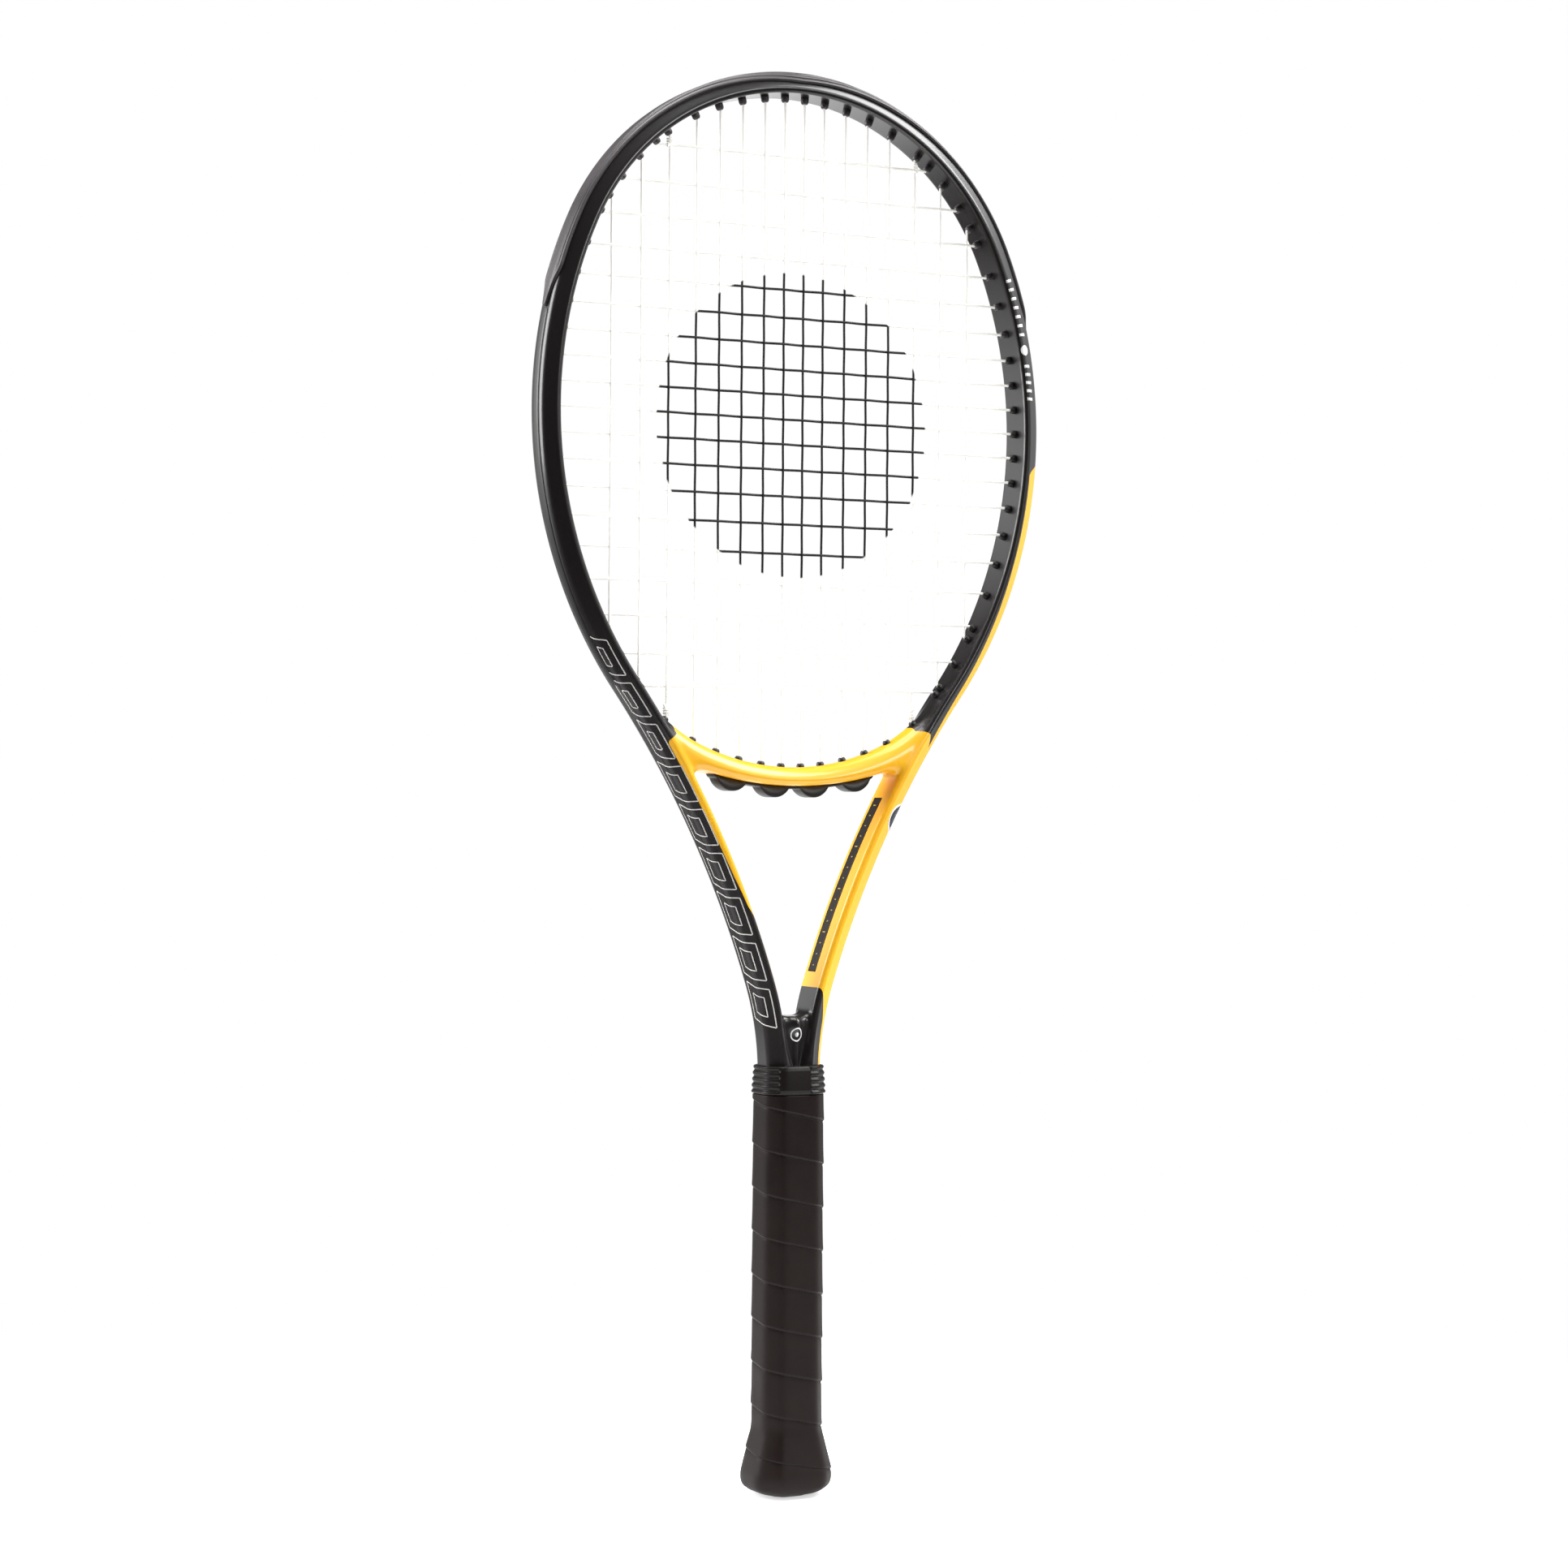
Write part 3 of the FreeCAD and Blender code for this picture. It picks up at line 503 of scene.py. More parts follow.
def web_half(x, z):
    """Half depth of the web: a V-shaped hollow between the tubes with a ridge down its middle."""
    crest = 3.0 + 0.33 * (z - COLLAR_TOP)
    part = np.clip((np.abs(x) - crest + 1.4) / 2.8, 0, 1)
    flank = part * part * (3 - 2 * part)
    ridge = WEB_RIDGE * np.exp(-(x / 1.8) ** 2)
    nose = WEB_NOSE * np.exp(-(x / 4.5) ** 2 - ((z - NOSE_Z) / 4.0) ** 2)
    return WEB_HALF + ridge + nose + (WEB_FLANK - WEB_HALF) * flank


def frame_distance(x, y, z, plan=None):
    """Distance from the frame's surface, negative inside."""
    u, above, hole = plan or infill_plan(x, z)
    tube = section_distance(u, y)
    blend = np.clip((z - 240.0) / 40.0, 0, 1)
    depth = np.abs(y) - web_half(x, z) * (1 - blend) - BRIDGE_HALF * blend
    top = round_max([above, depth], BRIDGE_TOP_ROUND)
    low = round_max([hole, depth], WEB_ROUND + (BRIDGE_LOW_ROUND - WEB_ROUND) * blend)
    infill = np.maximum(np.maximum(top, low), u + 2.6)
    mixed = np.maximum(BLEND - np.abs(tube - infill), 0) / BLEND
    return np.minimum(tube, infill) - mixed * mixed * BLEND / 4


def sample_frame(xs, ys, zs):
    """The frame's distance at the crossings of a grid, worked out only near the frame."""
    gx, gz = np.meshgrid(xs, zs, indexing="ij")
    u, above, hole = infill_plan(gx, gz)
    near = np.minimum(np.abs(u) - TUBE_A - 3, np.maximum(np.maximum(above, hole), u) - 3) < 0
    px, pz, plan = gx[near], gz[near], (u[near], above[near], hole[near])
    value = np.empty((len(xs), len(ys), len(zs)), np.float32)
    for j, y in enumerate(ys):
        layer = np.full(gx.shape, 9.0)
        layer[near] = frame_distance(px, np.full(px.shape, y), pz, plan)
        value[:, j, :] = np.maximum(layer, FRAME_LOW - gz)
    return value


def net_points(value):
    """A point in each cell that the surface passes through, at the mean of its crossings; their numbers."""
    size = [n - 1 for n in value.shape]
    total = np.zeros((*size, 3), np.float32)
    hits = np.zeros(size, np.float32)
    for axis in range(3):
        near, far = np.take(value, range(size[axis]), axis), np.take(value, range(1, size[axis] + 1), axis)
        cross = (near < 0) != (far < 0)
        part = np.where(cross, near / np.where(cross, near - far, 1), 0)
        first, second = [k for k in range(3) if k != axis]
        for di, dj in ((0, 0), (0, 1), (1, 0), (1, 1)):
            shift = [slice(None)] * 3
            shift[first] = slice(di, di + size[first])
            shift[second] = slice(dj, dj + size[second])
            here = cross[tuple(shift)]
            hits += here
            total[..., axis] += part[tuple(shift)]
            total[..., first] += here * di
            total[..., second] += here * dj
    cells = np.argwhere(hits > 0)
    number = np.full(hits.shape, -1, int)
    number[tuple(cells.T)] = np.arange(len(cells))
    return cells + total[tuple(cells.T)] / hits[tuple(cells.T)][:, None], number


def net_faces(inside, number):
    """A quad round each step of the grid that the surface crosses."""
    faces = []
    for axis in range(3):
        first, second = [k for k in range(3) if k != axis]
        low, high = [slice(1, -1)] * 3, [slice(1, -1)] * 3
        low[axis], high[axis] = slice(0, -1), slice(1, None)
        start, end = inside[tuple(low)], inside[tuple(high)]
        change = np.argwhere(start != end)
        base = change + 1
        base[:, axis] -= 1
        ring = []
        for di, dj in ((0, 0), (1, 0), (1, 1), (0, 1)):
            cell = base.copy()
            cell[:, first] -= di
            cell[:, second] -= dj
            ring.append(number[tuple(cell.T)])
        ring = np.stack(ring, 1)
        flip = start[tuple(change.T)] == (axis == 1)
        ring[flip] = ring[flip][:, ::-1]
        faces.append(ring)
    return np.vstack(faces)


def surface_net(step):
    """The frame's surface as quads: a point in each cell of a regular grid that it passes through."""
    xs = np.arange(-140, 140 + step, step)
    ys = np.arange(-13.3, 13.3 + step, step)
    zs = np.arange(FRAME_LOW - 6, 690.0, step)
    value = sample_frame(xs, ys, zs)
    points, number = net_points(value)
    return points * step + np.array([xs[0], ys[0], zs[0]]), net_faces(value < 0, number)


def settle(points, faces, rounds):
    """Evens the net out along the surface and puts every point exactly on it."""
    edges = np.vstack([faces[:, [k, (k + 1) % 4]] for k in range(4)])
    count = np.bincount(edges.ravel(), minlength=len(points)).astype(float)
    step = 0.02
    for turn in range(rounds):
        mean = np.zeros_like(points)
        for k in range(3):
            mean[:, k] = (np.bincount(edges[:, 0], points[edges[:, 1], k], len(points))
                          + np.bincount(edges[:, 1], points[edges[:, 0], k], len(points))) / count
        moved = mean if turn < rounds - 1 else points
        keep = points[:, 2] < FRAME_LOW + 2
        moved[keep] = points[keep]
        for _ in range(2):
            f = frame_distance(*moved.T)
            slope = np.stack([
                frame_distance(*(moved + step * axis).T) - frame_distance(*(moved - step * axis).T)
                for axis in np.eye(3)], 1) / (2 * step)
            slope /= np.maximum(np.linalg.norm(slope, axis=1), 0.2)[:, None]
            push = np.clip(f, -0.6, 0.6)[:, None] * slope
            push[keep] = 0
            moved = moved - push
        points = moved
    return points


def paint_distance(x, z):
    """Distance from the edge of the yellow, negative in the yellow; the same on front and back."""
    s, u = path_coords(x, z)
    band = round_max([np.interp(s, BAND_RUN, BAND_OUT) - u, BAND_START - (u + 0.93) - s], 1.2)
    lobe = LOBE_START + np.where(u < -2, 0.064, 0.38) * (u + 2) ** 2 - s
    end = s - YELLOW_END - 0.31 * np.maximum(u + 4.5, 0) ** 2
    right = np.minimum(band, np.maximum(lobe, end))
    start = LEFT_START + 0.03 * np.minimum(u + 6, 0) ** 2 - s
    left = round_max([u - np.interp(s, LEFT_RUN, LEFT_OUT), start, s - YELLOW_END], 2.0)
    bridge = np.maximum.reduce([np.abs(x) - 66.0, 300.0 - z, z - 395.0, u + 7.0])
    return np.minimum(np.where(x < 0, left, right), bridge)


def make_frame():
    """The black and yellow moulding: head, shafts, bridge and web in one skin."""
    points, faces = surface_net(0.8)
    points = settle(points, faces, 6)
    piece = add_mesh("frame_moulding", points, faces, LACQUER)
    paint = piece.data.attributes.new("paint", "FLOAT", "POINT")
    paint.data.foreach_set("value", paint_distance(points[:, 0], points[:, 2]).astype(np.float32))
    finish(piece, "frame_black", "head_hoop", "shaft_left", "shaft_right", "throat_bridge", "throat_web")


make_frame()


# ---- pieces that follow the tube

OUTLINE = section_outline(160)
HALF_ROUND = OUTLINE[3][-1]


def skin_point(side, s, at, lift=0.0):
    """Points on the tube's skin: side 1 right, -1 left; at is the distance round from the outer middle,
    negative towards the back."""
    u, y, angle, run = OUTLINE
    round_at = np.abs(at)
    turn = np.interp(round_at, run, angle)
    out = np.interp(round_at, run, u) + lift * np.cos(turn)
    depth = np.interp(round_at, run, y) - lift * np.sin(turn)
    x, z, _ = on_path(s, out)
    return np.stack([side * x, np.where(at < 0, -depth, depth), z], -1)


def girth(u_front):
    """Distance round the section, from the outer middle, where its front half is at an offset."""
    return float(np.interp(-u_front, -OUTLINE[0], OUTLINE[3]))


def bumper_reach(s):
    """How far round the section the bumper's edge lies at a distance from the top."""
    lip = 0.2 + 3.4 * (1 - (1 - np.minimum(s, 150.0) / 150.0) ** 2)
    part = np.clip((BUMPER_END - s) / BUMPER_TAPER, 0, 1)
    tip = np.clip((BUMPER_END - s) / 2.0, 0, 1)
    return girth(lip) * (0.3 + 0.7 * part * part * (3 - 2 * part)) * np.sqrt(1 - (1 - tip) ** 2 * 0.99)


def make_bumper_shell(build):
    """The bumper as a closed sleeve with two grooves along each edge."""
    fine = np.linspace(BUMPER_END - BUMPER_FINE, BUMPER_END, 90)
    along = np.r_[-fine[::-1], np.linspace(-fine[0], fine[0], 360)[1:-1], fine]
    by_grooves = [depth + 0.2 * step for depth, _ in GROOVES for step in range(-2, 3)]
    near = np.sort([0, 0.15, 0.4, 0.8, 1.3, 2.7, 3.2, 4.8, 5.5, 6.5] + by_grooves)
    rows = []
    for s in along:
        side = 1 if s >= 0 else -1
        reach = bumper_reach(abs(s))
        fade = min(1.0, reach / BUMPER_FULL)
        from_lip = np.minimum(np.r_[near, np.linspace(7.0, max(reach, 8.0), 8)] * fade, reach)
        at = np.r_[from_lip - reach, (reach - from_lip)[::-1]]
        lip_gap = np.r_[from_lip, from_lip[::-1]]
        groove = sum(cut * np.exp(-((lip_gap - depth * fade) / GROOVE_WIDTH) ** 2) for depth, cut in GROOVES)
        edge = np.clip(lip_gap / 0.5, 0, 1)
        tip = min(1.0, (BUMPER_END - abs(s)) / 0.8)
        thick = BUMPER_WALL * math.sqrt(max(0.0, 1 - (1 - tip) ** 2)) + 0.02
        lift = (thick - groove * min(thick, fade * fade)) * np.sqrt(1 - (1 - edge) ** 2 * 0.95)
        line = np.full(at.shape, abs(s))
        rows.append(np.vstack([skin_point(side, line, at, lift), skin_point(side, line, at, -0.15)[::-1]]))
    build.solid(rows)


def barrel(build, stop, side, length):
    """A grommet barrel: a tube with a rounded mouth, from its tip back along its way."""
    tip, way = (mirror(vector, side) for vector in stop)
    profile = [(0.9, BARREL_BORE - 0.05), (0.1, BARREL_BORE), (0.0, BARREL_BORE + 0.15),
               (0.05, BARREL_BORE + 0.45), (0.3, BARREL_R - 0.4), (1.0, BARREL_R - 0.05),
               (2.0, BARREL_R), (length, BARREL_R + 0.1)]
    across = unit(np.cross(way, (0, 1, 0)))
    up = np.cross(across, way)
    turn = full_turn(20)[:, None]
    ring = np.cos(turn) * across + np.sin(turn) * up
    build.solid([tip + way * depth + ring * radius for depth, radius in profile])


def mirror(vector, side):
    """A right-hand point or direction on the side asked for."""
    return np.array([side * vector[0], vector[1], vector[2]])


def head_stop(s):
    """A string's barrel through the head at a distance along the tube: tip and way outwards."""
    x, z, h = on_path(np.array([s]), np.array([-TUBE_A - BARREL_OUT]))
    return np.array([x[0], 0, z[0]]), np.array([math.sin(h[0]), 0, math.cos(h[0])])


def bridge_stop(main):
    """A main's barrel through the bridge: tip and way outwards."""
    centre, radius = BRIDGE_C, BRIDGE_TOP_R
    if main > BRIDGE_TOP_R * math.sin(math.radians(BRIDGE_TOP_TURN)) - 1:
        centre, radius = SIDE_C, SIDE_R
    reach = radius - BRIDGE_OUT
    drop = math.sqrt(reach ** 2 - (main - centre[0]) ** 2)
    return np.array([main, 0, centre[1] - drop]), np.array([main - centre[0], 0, -drop]) / reach


def string_stops():
    """Tips and ways of the barrels: mains' tops, mains' lows, crosses; right half."""
    s = np.linspace(0, LIMB_END + 6, 6000)
    x, z, _ = on_path(s, np.full(s.shape, -TUBE_A - BARREL_OUT))
    widest = x.argmax()
    tops = [head_stop(np.interp(main, x[:widest], s[:widest])) for main in MAINS]
    lows = [bridge_stop(main) for main in MAINS[:BRIDGE_MAINS]]
    lows += [head_stop(np.interp(-main, -x[widest:], s[widest:])) for main in MAINS[BRIDGE_MAINS:]]
    heights = [CROSS_TOP_Z]
    for gap in range(CROSSES - 1):
        heights.append(heights[-1] - CROSS_GAP - CROSS_SPREAD * (gap - CROSS_MIDDLE) ** 2)
    crosses = [head_stop(np.interp(-height, -z, s)) for height in heights]
    return tops, lows, crosses


TOPS, LOWS, ENDS = string_stops()


def head_barrels(build, sides, first, last):
    """The head's barrels between two distances along the tube."""
    for stop in TOPS + LOWS[BRIDGE_MAINS:] + ENDS:
        s = path_coords(stop[0][:1], stop[0][2:])[0][0]
        if first <= s < last:
            for side in sides:
                barrel(build, stop, side, HEAD_BARREL)


def make_bumper():
    """Bumper guard with the barrels under it."""
    build = Builder()
    make_bumper_shell(build)
    head_barrels(build, (1, -1), 0.0, BUMPER_END - 3)
    build.finish("bumper_guard_shell", BUMPER_MAT, "bumper_plastic", "bumper_guard")


def make_strip(side, node):
    """Grommet strip in the groove of one side, with its barrels."""
    build = Builder()
    along = np.linspace(BUMPER_END - 1.0, LIMB_END - 2, 160)
    rows = []
    for s in along:
        ends = min(s - along[0], along[-1] - s)
        ease = math.sqrt(min(1.0, ends / 3.0))
        ring = []
        for y, rise in ((-1, -0.6), (-1, 0.1), (-0.9, 0.9), (-0.3, 1.0),
                        (0.3, 1.0), (0.9, 0.9), (1, 0.1), (1, -0.6)):
            x, z, _ = on_path(np.array([s]), TUBE_A + (rise * BAND_RISE if rise > 0 else rise))
            ring.append((side * x[0], y * BAND_WIDE * ease, z[0]))
        rows.append(ring)
    build.solid(rows)
    head_barrels(build, (side,), BUMPER_END - 3, PATH_LENGTH)
    build.finish(node + "_band", GROMMET_MAT, "grommet_plastic", node)


def make_throat_strip():
    """Strip under the bridge with four round lobes, and the bridge's barrels."""
    build = Builder()
    xs = np.linspace(-LOBES_LONG, LOBES_LONG, 240)
    base = LOW_C[1] - np.sqrt(BRIDGE_LOW_R ** 2 - xs ** 2)
    lowest = base - LOBES_THICK
    deep = BRIDGE_LOW_R + LOBES_THICK + LOBE_DEEP - LOBE_R
    for place in LOBE_PLACES:
        centre_z = LOW_C[1] - math.sqrt(deep ** 2 - place ** 2)
        inside = LOBE_R ** 2 - (np.abs(xs) - place) ** 2
        lobe = centre_z - np.sqrt(np.maximum(inside, 0))
        lowest = np.where(inside > 0, np.minimum(lowest, lobe), lowest)
    ends = np.minimum(1.0, (LOBES_LONG - np.abs(xs)) / 1.5)
    lowest = base - (base - lowest) * np.sqrt(np.clip(1 - (1 - ends) ** 2, 0.02, 1))
    rows = []
    for x, top, low in zip(xs, base + 0.4, lowest):
        r = min(0.5, (top - low) / 3)
        front = [(x, -LOBES_WIDE, top), (x, -LOBES_WIDE, low + r),
                 (x, 0.3 * r - LOBES_WIDE, low + 0.3 * r), (x, r - LOBES_WIDE, low)]
        rows.append(front + [(x, -y, z) for x, y, z in reversed(front)])
    build.solid(rows)
    for stop in LOWS[:BRIDGE_MAINS]:
        for side in (1, -1):
            barrel(build, stop, side, BRIDGE_BARREL)
    build.finish("throat_strip_lobes", GROMMET_MAT, "grommet_plastic", "grommet_strip_throat")


make_bumper()
make_strip(1, "grommet_strip_right")
make_strip(-1, "grommet_strip_left")
make_throat_strip()


# ---- strings

def woven(start, end, start_way, end_way, crossings, phase, rise):
    """One string: out of its barrel, over and under the strings it crosses, into the other barrel."""
    span = np.linalg.norm(end - start)
    way = (end - start) / span
    t = np.linspace(0, 1, int(span / 2.2))
    line = start + t[:, None] * (end - start)
    marks = np.sort([(np.asarray(mark) - start) @ way / span for mark in crossings])
    knots = np.r_[0.0, marks, 1.0]
    heights = np.r_[0.0, [(1 if (k + phase) % 2 else -1) for k in range(len(marks))], 0.0]
    index = np.clip(np.searchsorted(knots, t, side="right") - 1, 0, len(knots) - 2)
    part = (t - knots[index]) / (knots[index + 1] - knots[index])
    ease = (1 - np.cos(np.pi * part)) / 2
    line[:, 1] += (heights[index] * (1 - ease) + heights[index + 1] * ease) * rise
    return np.vstack([start + start_way * 3, start + start_way, line, end + end_way, end + end_way * 3])


def make_strings():
    """Sixteen mains and nineteen crosses, woven."""
    mains, crosses = Builder(), Builder()
    columns = sorted([-x for x in MAINS] + MAINS)
    for k, x in enumerate(columns):
        side, index = (1 if x > 0 else -1), MAINS.index(abs(x))
        (low, low_way), (top, top_way) = LOWS[index], TOPS[index]
        marks = [(x, 0, tip[2]) for tip, way in ENDS if tip[0] > abs(x) and low[2] < tip[2] < top[2]]
        skip = sum(1 for tip, way in ENDS if tip[0] <= abs(x) and tip[2] < low[2] + 60)
        line = woven(mirror(low, side), mirror(top, side), mirror(low_way, side), mirror(top_way, side),
                     marks, k + skip, 0.14)
        mains.solid(tube_along(line, STRING_R))
    for k, (tip, way) in enumerate(reversed(ENDS)):
        marks = [(x, 0, tip[2]) for x in columns if abs(x) < tip[0]]
        skip = sum(1 for x in columns if x < 0 and abs(x) >= tip[0])
        line = woven(mirror(tip, -1), tip, mirror(way, -1), way, marks, k + skip + 1, 0.62)
        crosses.solid(tube_along(line, STRING_R))
    mains.finish("mains_woven", STRING_MAT, "string", "main_strings")
    crosses.finish("crosses_woven", STRING_MAT, "string", "cross_strings")
    knots = Builder()
    turn = np.linspace(0, math.tau * 2.6, 70)
    for side in (1, -1):
        for (tip, way), step in ((TOPS[KNOTTED_MAIN], -1), (LOWS[KNOTTED_MAIN], 1)):
            rise = tip[2] + step * (1.4 + np.linspace(0, 3.0, 70))
            coil = np.stack([side * tip[0] + 1.15 * np.cos(turn), 1.15 * np.sin(turn), rise], 1)
            tail = coil[-1] + np.linspace(0, 1, 6)[:, None] * np.array([1.2 * side, -1.4, step * 1.6])
            knots.solid(tube_along(np.vstack([coil, tail[1:]]), KNOT_R))
    knots.finish("knots_tied", STRING_MAT, "string", "string_knots")


make_strings()


# ---- handle

def handle_ring(scale, lift, count, z):
    """Points at a height round the handle's octagon with rounded corners, anticlockwise from +X."""
    hx, hy, corner = (value * scale for value in WRAP)
    angle = full_turn(count)
    ways = np.stack([np.cos(angle), np.sin(angle)], 1)
    root = math.sqrt(0.5)
    bevel = (hx + hy - corner) * root
    flats = [((1, 0), hx), ((0, 1), hy), ((root, root), bevel), ((root, -root), bevel)]
    reach = sum((np.abs(ways @ way) / half) ** CORNER_POWER for way, half in flats)
    base = ways * (reach ** (-1 / CORNER_POWER))[:, None]
    tangent = np.roll(base, -1, 0) - np.roll(base, 1, 0)
    normal = unit(np.stack([tangent[:, 1], -tangent[:, 0]], 1))
    return np.column_stack([base + normal * np.reshape(lift, (-1, 1)), np.full(count, z)])


def flare(z):
    """How much larger the handle is at a height."""
    heights, sizes = zip(*FLARE)
    return np.mean([np.interp(z + step, heights, sizes) for step in np.linspace(-1, 1, 7) * min(1.6, z / 2)])


def make_grip():
    """Spiral grip tape: each turn's lower edge lies over the turn below it."""
    count = 240
    turns = (full_turn(count) - WRAP_SEAM) / math.tau % 1.0
    rows = []
    for z in np.r_[np.linspace(0.6, 38, 150), np.linspace(38, WRAP_TOP, 420)[1:]]:
        up = (z - WRAP_START + WRAP_PITCH * turns) % WRAP_PITCH
        lift = WRAP_STEP * np.exp(-up / 9.0) * np.clip(up / 0.8, 0, 1) ** 0.5
        lift -= 0.45 * np.exp((up - WRAP_PITCH) / 0.7) + WRAP_SINK
        lift -= 1.2 * np.clip((z - COLLAR_LOW + 0.5) / 0.8, 0, 1)
        rows.append(handle_ring(flare(z), lift, count, z))
    build = Builder()
    build.solid(rows, flip=True)
    build.finish("grip_tape_spiral", GRIP_MAT, "grip_leather", "grip_wrap")


def round_row(radius, z, count=160):
    """Points of a level circle."""
    turn = full_turn(count)
    return np.column_stack([radius * np.cos(turn), radius * np.sin(turn), np.full(count, z)])


def make_cap():
    """Butt cap's end under the tape, with a recessed plain disc."""
    build = Builder()
    rows = [handle_ring(scale, lift, 160, z) for z, scale, lift in (
        (2.4, 0.94, -0.8), (1.2, 0.74, -0.5), (0.4, 0.60, -0.1), (0.0, 0.56, 0.0))]
    rows += [round_row(BADGE_R + out, z) for out, z in ((0.4, 0.0), (0.1, 0.2), (0.0, 1.0))]
    build.solid(rows)
    build.finish("butt_cap_end", CAP_MAT, "cap_plastic", "butt_cap")
    build = Builder()
    rows = [round_row(BADGE_R - inset, z) for inset, z in (
        (0.2, 0.95), (0.2, 0.4), (0.5, 0.2), (2.2, 0.15), (2.4, 0.3), (2.8, 0.3), (3.0, 0.15))]
    build.solid(rows)
    build.finish("cap_disc", COLLAR_MAT, "badge_plastic", "butt_cap_badge")


def make_collar():
    """Ribbed rubber collar with a smooth plate on its front."""
    count = 240
    ring = handle_ring(1.0, 0.0, count, 0.0)
    past_plate = np.clip(np.abs(ring[:, 0] - PLATE_X) - PLATE_HALF, 0, 9)
    face = np.exp(-(past_plate / 0.5) ** 2) * (ring[:, 1] < 0)
    rows = []
    for part in np.linspace(0, 1, 90):
        wave = 0.5 + 0.5 * math.cos(math.tau * (part * COLLAR_RIBS - 0.25))
        plate = 0.65 * min(1.0, 8 * (part - 0.04)) * min(1.0, 8 * (0.97 - part))
        lift = 0.75 * wave ** 0.7 * (1 - face) + max(plate, 0.0) * face + 0.15 - 1.05 * part ** 1.3
        ends = min(1.0, min(part, 1 - part) * 14)
        lift -= 0.7 * (1 - math.sqrt(1 - (1 - ends) ** 2))
        rows.append(handle_ring(1.0, lift, count, COLLAR_LOW + part * (COLLAR_TOP - COLLAR_LOW)))
    rows.append(handle_ring(1.0, -2.0, count, COLLAR_TOP + 0.05))
    rows.append(handle_ring(1.0, -3.5, count, COLLAR_TOP - 0.1))
    build = Builder()
    build.solid(rows, flip=True)
    build.finish("collar_ribbed", COLLAR_MAT, "collar_rubber", "grip_collar")


make_grip()
make_cap()
make_collar()


# ---- printed marks, all plain shapes

def ribbon(build, side, points, width):
    """A printed line on the tube's skin through points (distance along, distance round)."""
    points = np.asarray(points, float)
    run = np.r_[0, np.cumsum(np.hypot(*np.diff(points, axis=0).T))]
    t = np.linspace(0, run[-1], max(2, int(run[-1] / 0.8)))
    line = np.stack([np.interp(t, run, points[:, k]) for k in range(2)], 1)
    way = unit(np.gradient(line, axis=0))
    normal = np.stack([-way[:, 1], way[:, 0]], 1)
    rows = []
    for offset, rise in ((-1, -0.08), (-1, 0.5), (-0.4, 1), (0.4, 1), (1, 0.5), (1, -0.08)):
        edge = line + normal * offset * width / 2
        rows.append(skin_point(side, edge[:, 0], edge[:, 1], rise * 0.06))
    build.solid(np.array(rows).transpose(1, 0, 2))


def patch(build, side, s, at, lift, under=-0.05):
    """A thin printed patch over a grid of places on the tube's skin."""
    pairs = zip(skin_point(side, s, at, lift), skin_point(side, s, at, under))
    build.solid([np.vstack([top, low[::-1]]) for top, low in pairs])


def disc_on_skin(build, side, s0, at0, long, wide, lift):
    """A printed ellipse on the tube's skin."""
    part = np.sin(np.linspace(-math.pi / 2, math.pi / 2, 28))
    half = wide * np.sqrt(np.clip(1 - part ** 2, 0.0004, 1))
    at = at0 + half[:, None] * np.linspace(-1, 1, 17)
    patch(build, side, np.broadcast_to(s0 + long * part[:, None], at.shape), at, lift)


def slanted(start, end, low, high, lean):
    """A closed outline, slanting by lean along for each millimetre round."""
    corners = [(start, low), (start, high), (end, high), (end, low), (start, low)]
    return [(s + lean * (at - low), at) for s, at in corners]


def print_blocks():
    """Outlined slanted blocks down the left tube, the first three further round to the front."""
    build = Builder()
    along, across = BLOCK_INSET
    for k in range(BLOCKS):
        start = BLOCK_START + k * BLOCK_PITCH
        end = start + BLOCK_PITCH - BLOCK_GAP
        low, high = (1.3, 10.8) if k < 3 else (-2.2, 11.5)
        lean = BLOCK_LEAN / (high - low)
        ribbon(build, -1, slanted(start, end, low, high, lean), 0.55)
        start += lean * across
        end += lean * across
        ribbon(build, -1, slanted(start + along, end - along, low + across, high - across, lean), 0.5)
    build.finish("left_tube_outline_print", PRINT_MAT, "print_white")


def print_bars():
    """Short bars and a dot on the right side of the head: start, pitch and number of each group."""
    build = Builder()
    low, high = girth(-3.2), girth(0.6)
    for start, pitch, count in ((155.0, 4.6, 7), (198.5, 4.1, 5)):
        for k in range(count):
            s = start + pitch * k
            ribbon(build, 1, [(s, low), (s + 0.2, high)], 1.5)
    disc_on_skin(build, 1, 190.5, (low + high) / 2, 2.6, 2.7, 0.07)
    build.finish("right_tube_bar_print", WHITE_MAT, "print_white")


def print_label():
    """A dark strip on the inner side of the right tube, with a line of ticks."""
    build = Builder()
    flat = HALF_ROUND - np.linspace(1.2, -6.2, 9)
    at = np.where(flat > HALF_ROUND, flat - 2 * HALF_ROUND, flat)
    patch(build, 1, *np.meshgrid(np.linspace(LABEL_START, LABEL_END, 120), at, indexing="ij"), 0.12)
    build.finish("shaft_label_strip", LABEL_MAT, "label_black", "shaft_label")
    build = Builder()
    for k in range(TICKS):
        place = TICK_START + TICK_PITCH * k
        half = 1.3 if k % 4 == 0 else 0.65
        at = np.array([-half, half]) - (HALF_ROUND - 2.4)
        patch(build, 1, *np.meshgrid([place, place + 0.5], at, indexing="ij"), 0.2, 0.05)
    build.finish("label_tick_print", GOLD_MAT, "label_black")


def print_oval():
    """A dark oval with a white border on the outer side of the right tube."""
    for name, material, slot, long, wide, lift in (
            ("oval_border_print", WHITE_MAT, "print_white", 9.6, 11.6, 0.05),
            ("oval_print", OVAL_MAT, "label_black", 8.6, 10.4, 0.1)):
        build = Builder()
        disc_on_skin(build, 1, OVAL_PLACE, 0.0, long, wide, lift)
        build.finish(name, material, slot)


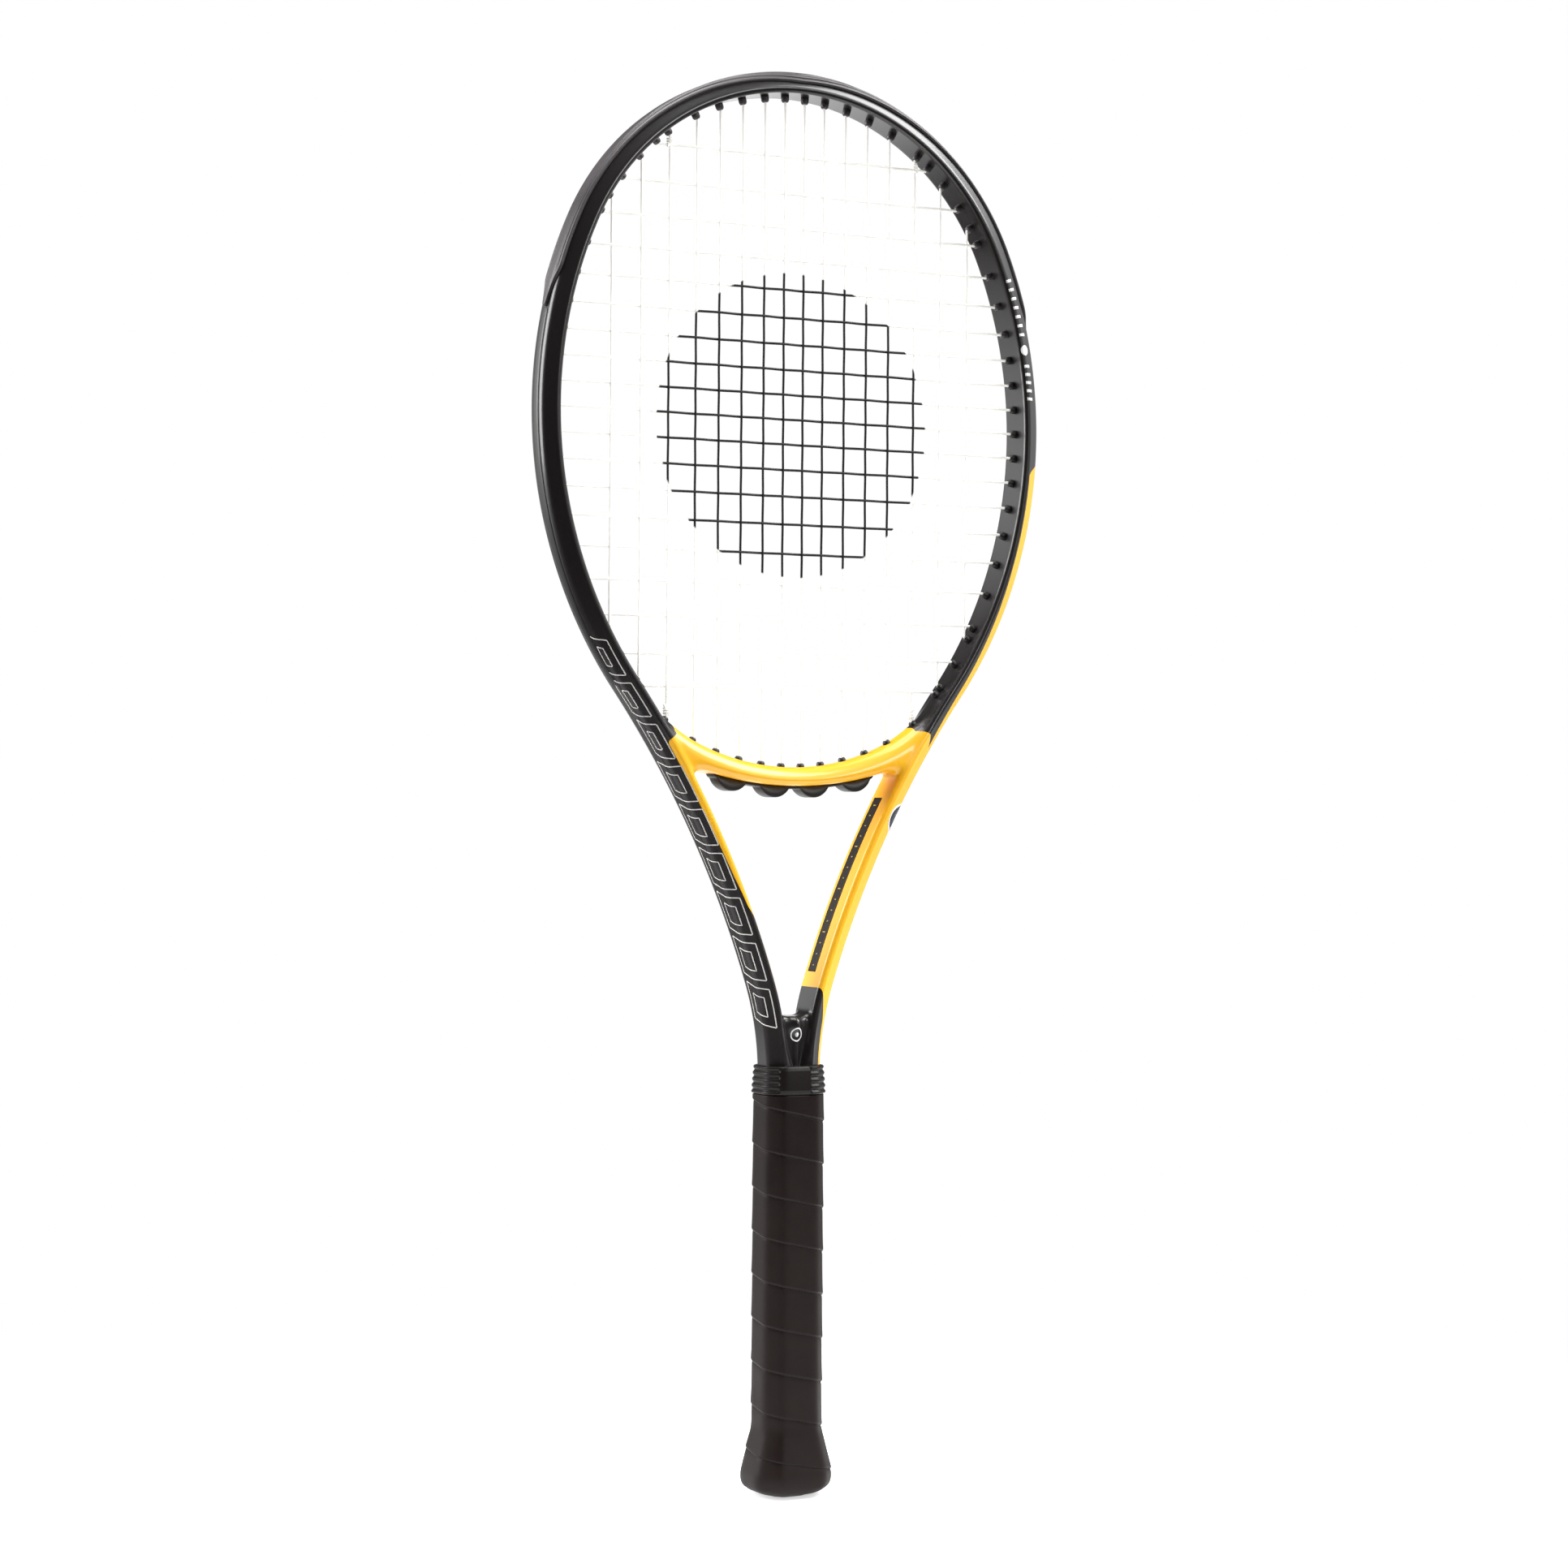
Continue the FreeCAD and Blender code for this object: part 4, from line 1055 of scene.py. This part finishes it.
def front_of_frame(x, z):
    """How far forward the frame's surface is at places of the plane."""
    low, high = np.full(x.shape, -14.0), np.full(x.shape, -2.0)
    for _ in range(24):
        middle = (low + high) / 2
        outside = frame_distance(x, middle, z) > 0
        low, high = np.where(outside, middle, low), np.where(outside, high, middle)
    return low


def make_emblem():
    """A plain ring and dot on the web."""
    build = Builder()
    turn = full_turn(48)
    for inner, outer in ((2.5, 3.1), (0.0, 1.0)):
        rows = []
        for radius, lift in ((inner, -0.05), (inner, 0.1), (outer, 0.1), (outer, -0.05)):
            x, z = radius * np.sin(turn), EMBLEM_Z + radius * 1.1 * np.cos(turn)
            rows.append(np.stack([x, front_of_frame(x, z) - lift, z], 1))
        build.ring(rows)
    build.finish("emblem_ring", WHITE_MAT, "print_white", "throat_emblem")


print_blocks()
print_bars()
print_label()
print_oval()
make_emblem()


# ---- studio

def make_floor():
    """A pale floor that fades out round the racket."""
    count = 96
    rows = [round_row(radius, 0.0, count) for radius in (0.0, 150.0, 400.0, 700.0)]
    material, nodes, links, shader = nodes_of("pale_floor", (0.88, 0.88, 0.88), 0.6)
    shader.inputs["Emission Color"].default_value = (1, 1, 1, 1)
    shader.inputs["Emission Strength"].default_value = 0.55
    add_mesh("floor", np.vstack(rows), grid_faces(len(rows), count), material)
    fade = add_range(nodes, links, add_distance(nodes, links), 0.25, 0.65, kind="SMOOTHSTEP")
    clear = nodes.new("ShaderNodeBsdfTransparent")
    mix = nodes.new("ShaderNodeMixShader")
    links.new(fade, mix.inputs["Fac"])
    links.new(shader.outputs["BSDF"], mix.inputs[1])
    links.new(clear.outputs["BSDF"], mix.inputs[2])
    links.new(mix.outputs["Shader"], nodes["Material Output"].inputs["Surface"])


def make_world():
    """White behind the racket, and soft surroundings with brighter lobes for its gloss."""
    world = bpy.data.worlds.new("studio")
    bpy.context.scene.world = world
    world.use_nodes = True
    nodes, links = world.node_tree.nodes, world.node_tree.links
    soft = nodes["Background"]
    soft.inputs["Color"].default_value = (1, 1, 1, 1)
    where = nodes.new("ShaderNodeTexCoord")
    start = nodes.new("ShaderNodeValue")
    start.outputs["Value"].default_value = WORLD_LEVEL
    total = start.outputs["Value"]
    for way, low, high, strength in WORLD_LOBES:
        along = nodes.new("ShaderNodeVectorMath")
        along.operation = "DOT_PRODUCT"
        along.inputs[1].default_value = Vector(way).normalized()
        links.new(where.outputs["Generated"], along.inputs[0])
        add = nodes.new("ShaderNodeMath")
        level = add_range(nodes, links, along.outputs["Value"], low, high, (0.0, strength), "SMOOTHSTEP")
        links.new(level, add.inputs[0])
        links.new(total, add.inputs[1])
        total = add.outputs["Value"]
    links.new(total, soft.inputs["Strength"])
    white = nodes.new("ShaderNodeBackground")
    white.inputs["Color"].default_value = (1, 1, 1, 1)
    seen = nodes.new("ShaderNodeLightPath")
    both = nodes.new("ShaderNodeMixShader")
    links.new(seen.outputs["Is Camera Ray"], both.inputs["Fac"])
    links.new(soft.outputs["Background"], both.inputs[1])
    links.new(white.outputs["Background"], both.inputs[2])
    links.new(both.outputs["Shader"], nodes["World Output"].inputs["Surface"])


def make_lights():
    """Soft boxes aimed at the middle of the racket."""
    for name, (place, wide, tall, power) in LIGHTS.items():
        lamp = bpy.data.lights.new(name, "AREA")
        lamp.shape = "RECTANGLE"
        lamp.size, lamp.size_y, lamp.energy = wide, tall, power
        holder = link(name, lamp)
        holder.location = place
        holder.rotation_euler = (LIGHT_AIM - Vector(place)).to_track_quat("-Z", "Y").to_euler()


def make_camera():
    """The camera: a level view from the left of the racket's front."""
    azimuth, roll = math.radians(CAMERA_AZIMUTH), math.radians(CAMERA_ROLL)
    lens = bpy.data.cameras.new("camera")
    holder = link("camera", lens)
    way = Vector((math.sin(azimuth), -math.cos(azimuth), 0))
    holder.location = way * CAMERA_DISTANCE + Vector((0, 0, CAMERA_HEIGHT))
    turn = (-way).to_track_quat("-Z", "Y").to_matrix().to_4x4()
    holder.rotation_euler = (turn @ Matrix.Rotation(roll, 4, "Z")).to_euler()
    lens.sensor_width, lens.lens = 36.0, CAMERA_LENS
    lens.shift_x, lens.shift_y = CAMERA_SHIFT
    bpy.context.scene.camera = holder
    bpy.context.scene.view_settings.view_transform = "Standard"


def dress_hidden_nodes():
    """Materials for the CAD parts that stay, inside the handle."""
    for node, material in (("handle_core", FOAM_MAT), ("finishing_tape", TAPE_MAT),
                           ("hairpin_left", COMPOSITE_MAT), ("hairpin_right", COMPOSITE_MAT),
                           ("butt_cap_staples", STEEL_MAT), ("grip_tack", STEEL_MAT)):
        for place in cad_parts[node].material_slots:
            place.material = material


dress_hidden_nodes()
make_floor()
make_world()
make_lights()
make_camera()
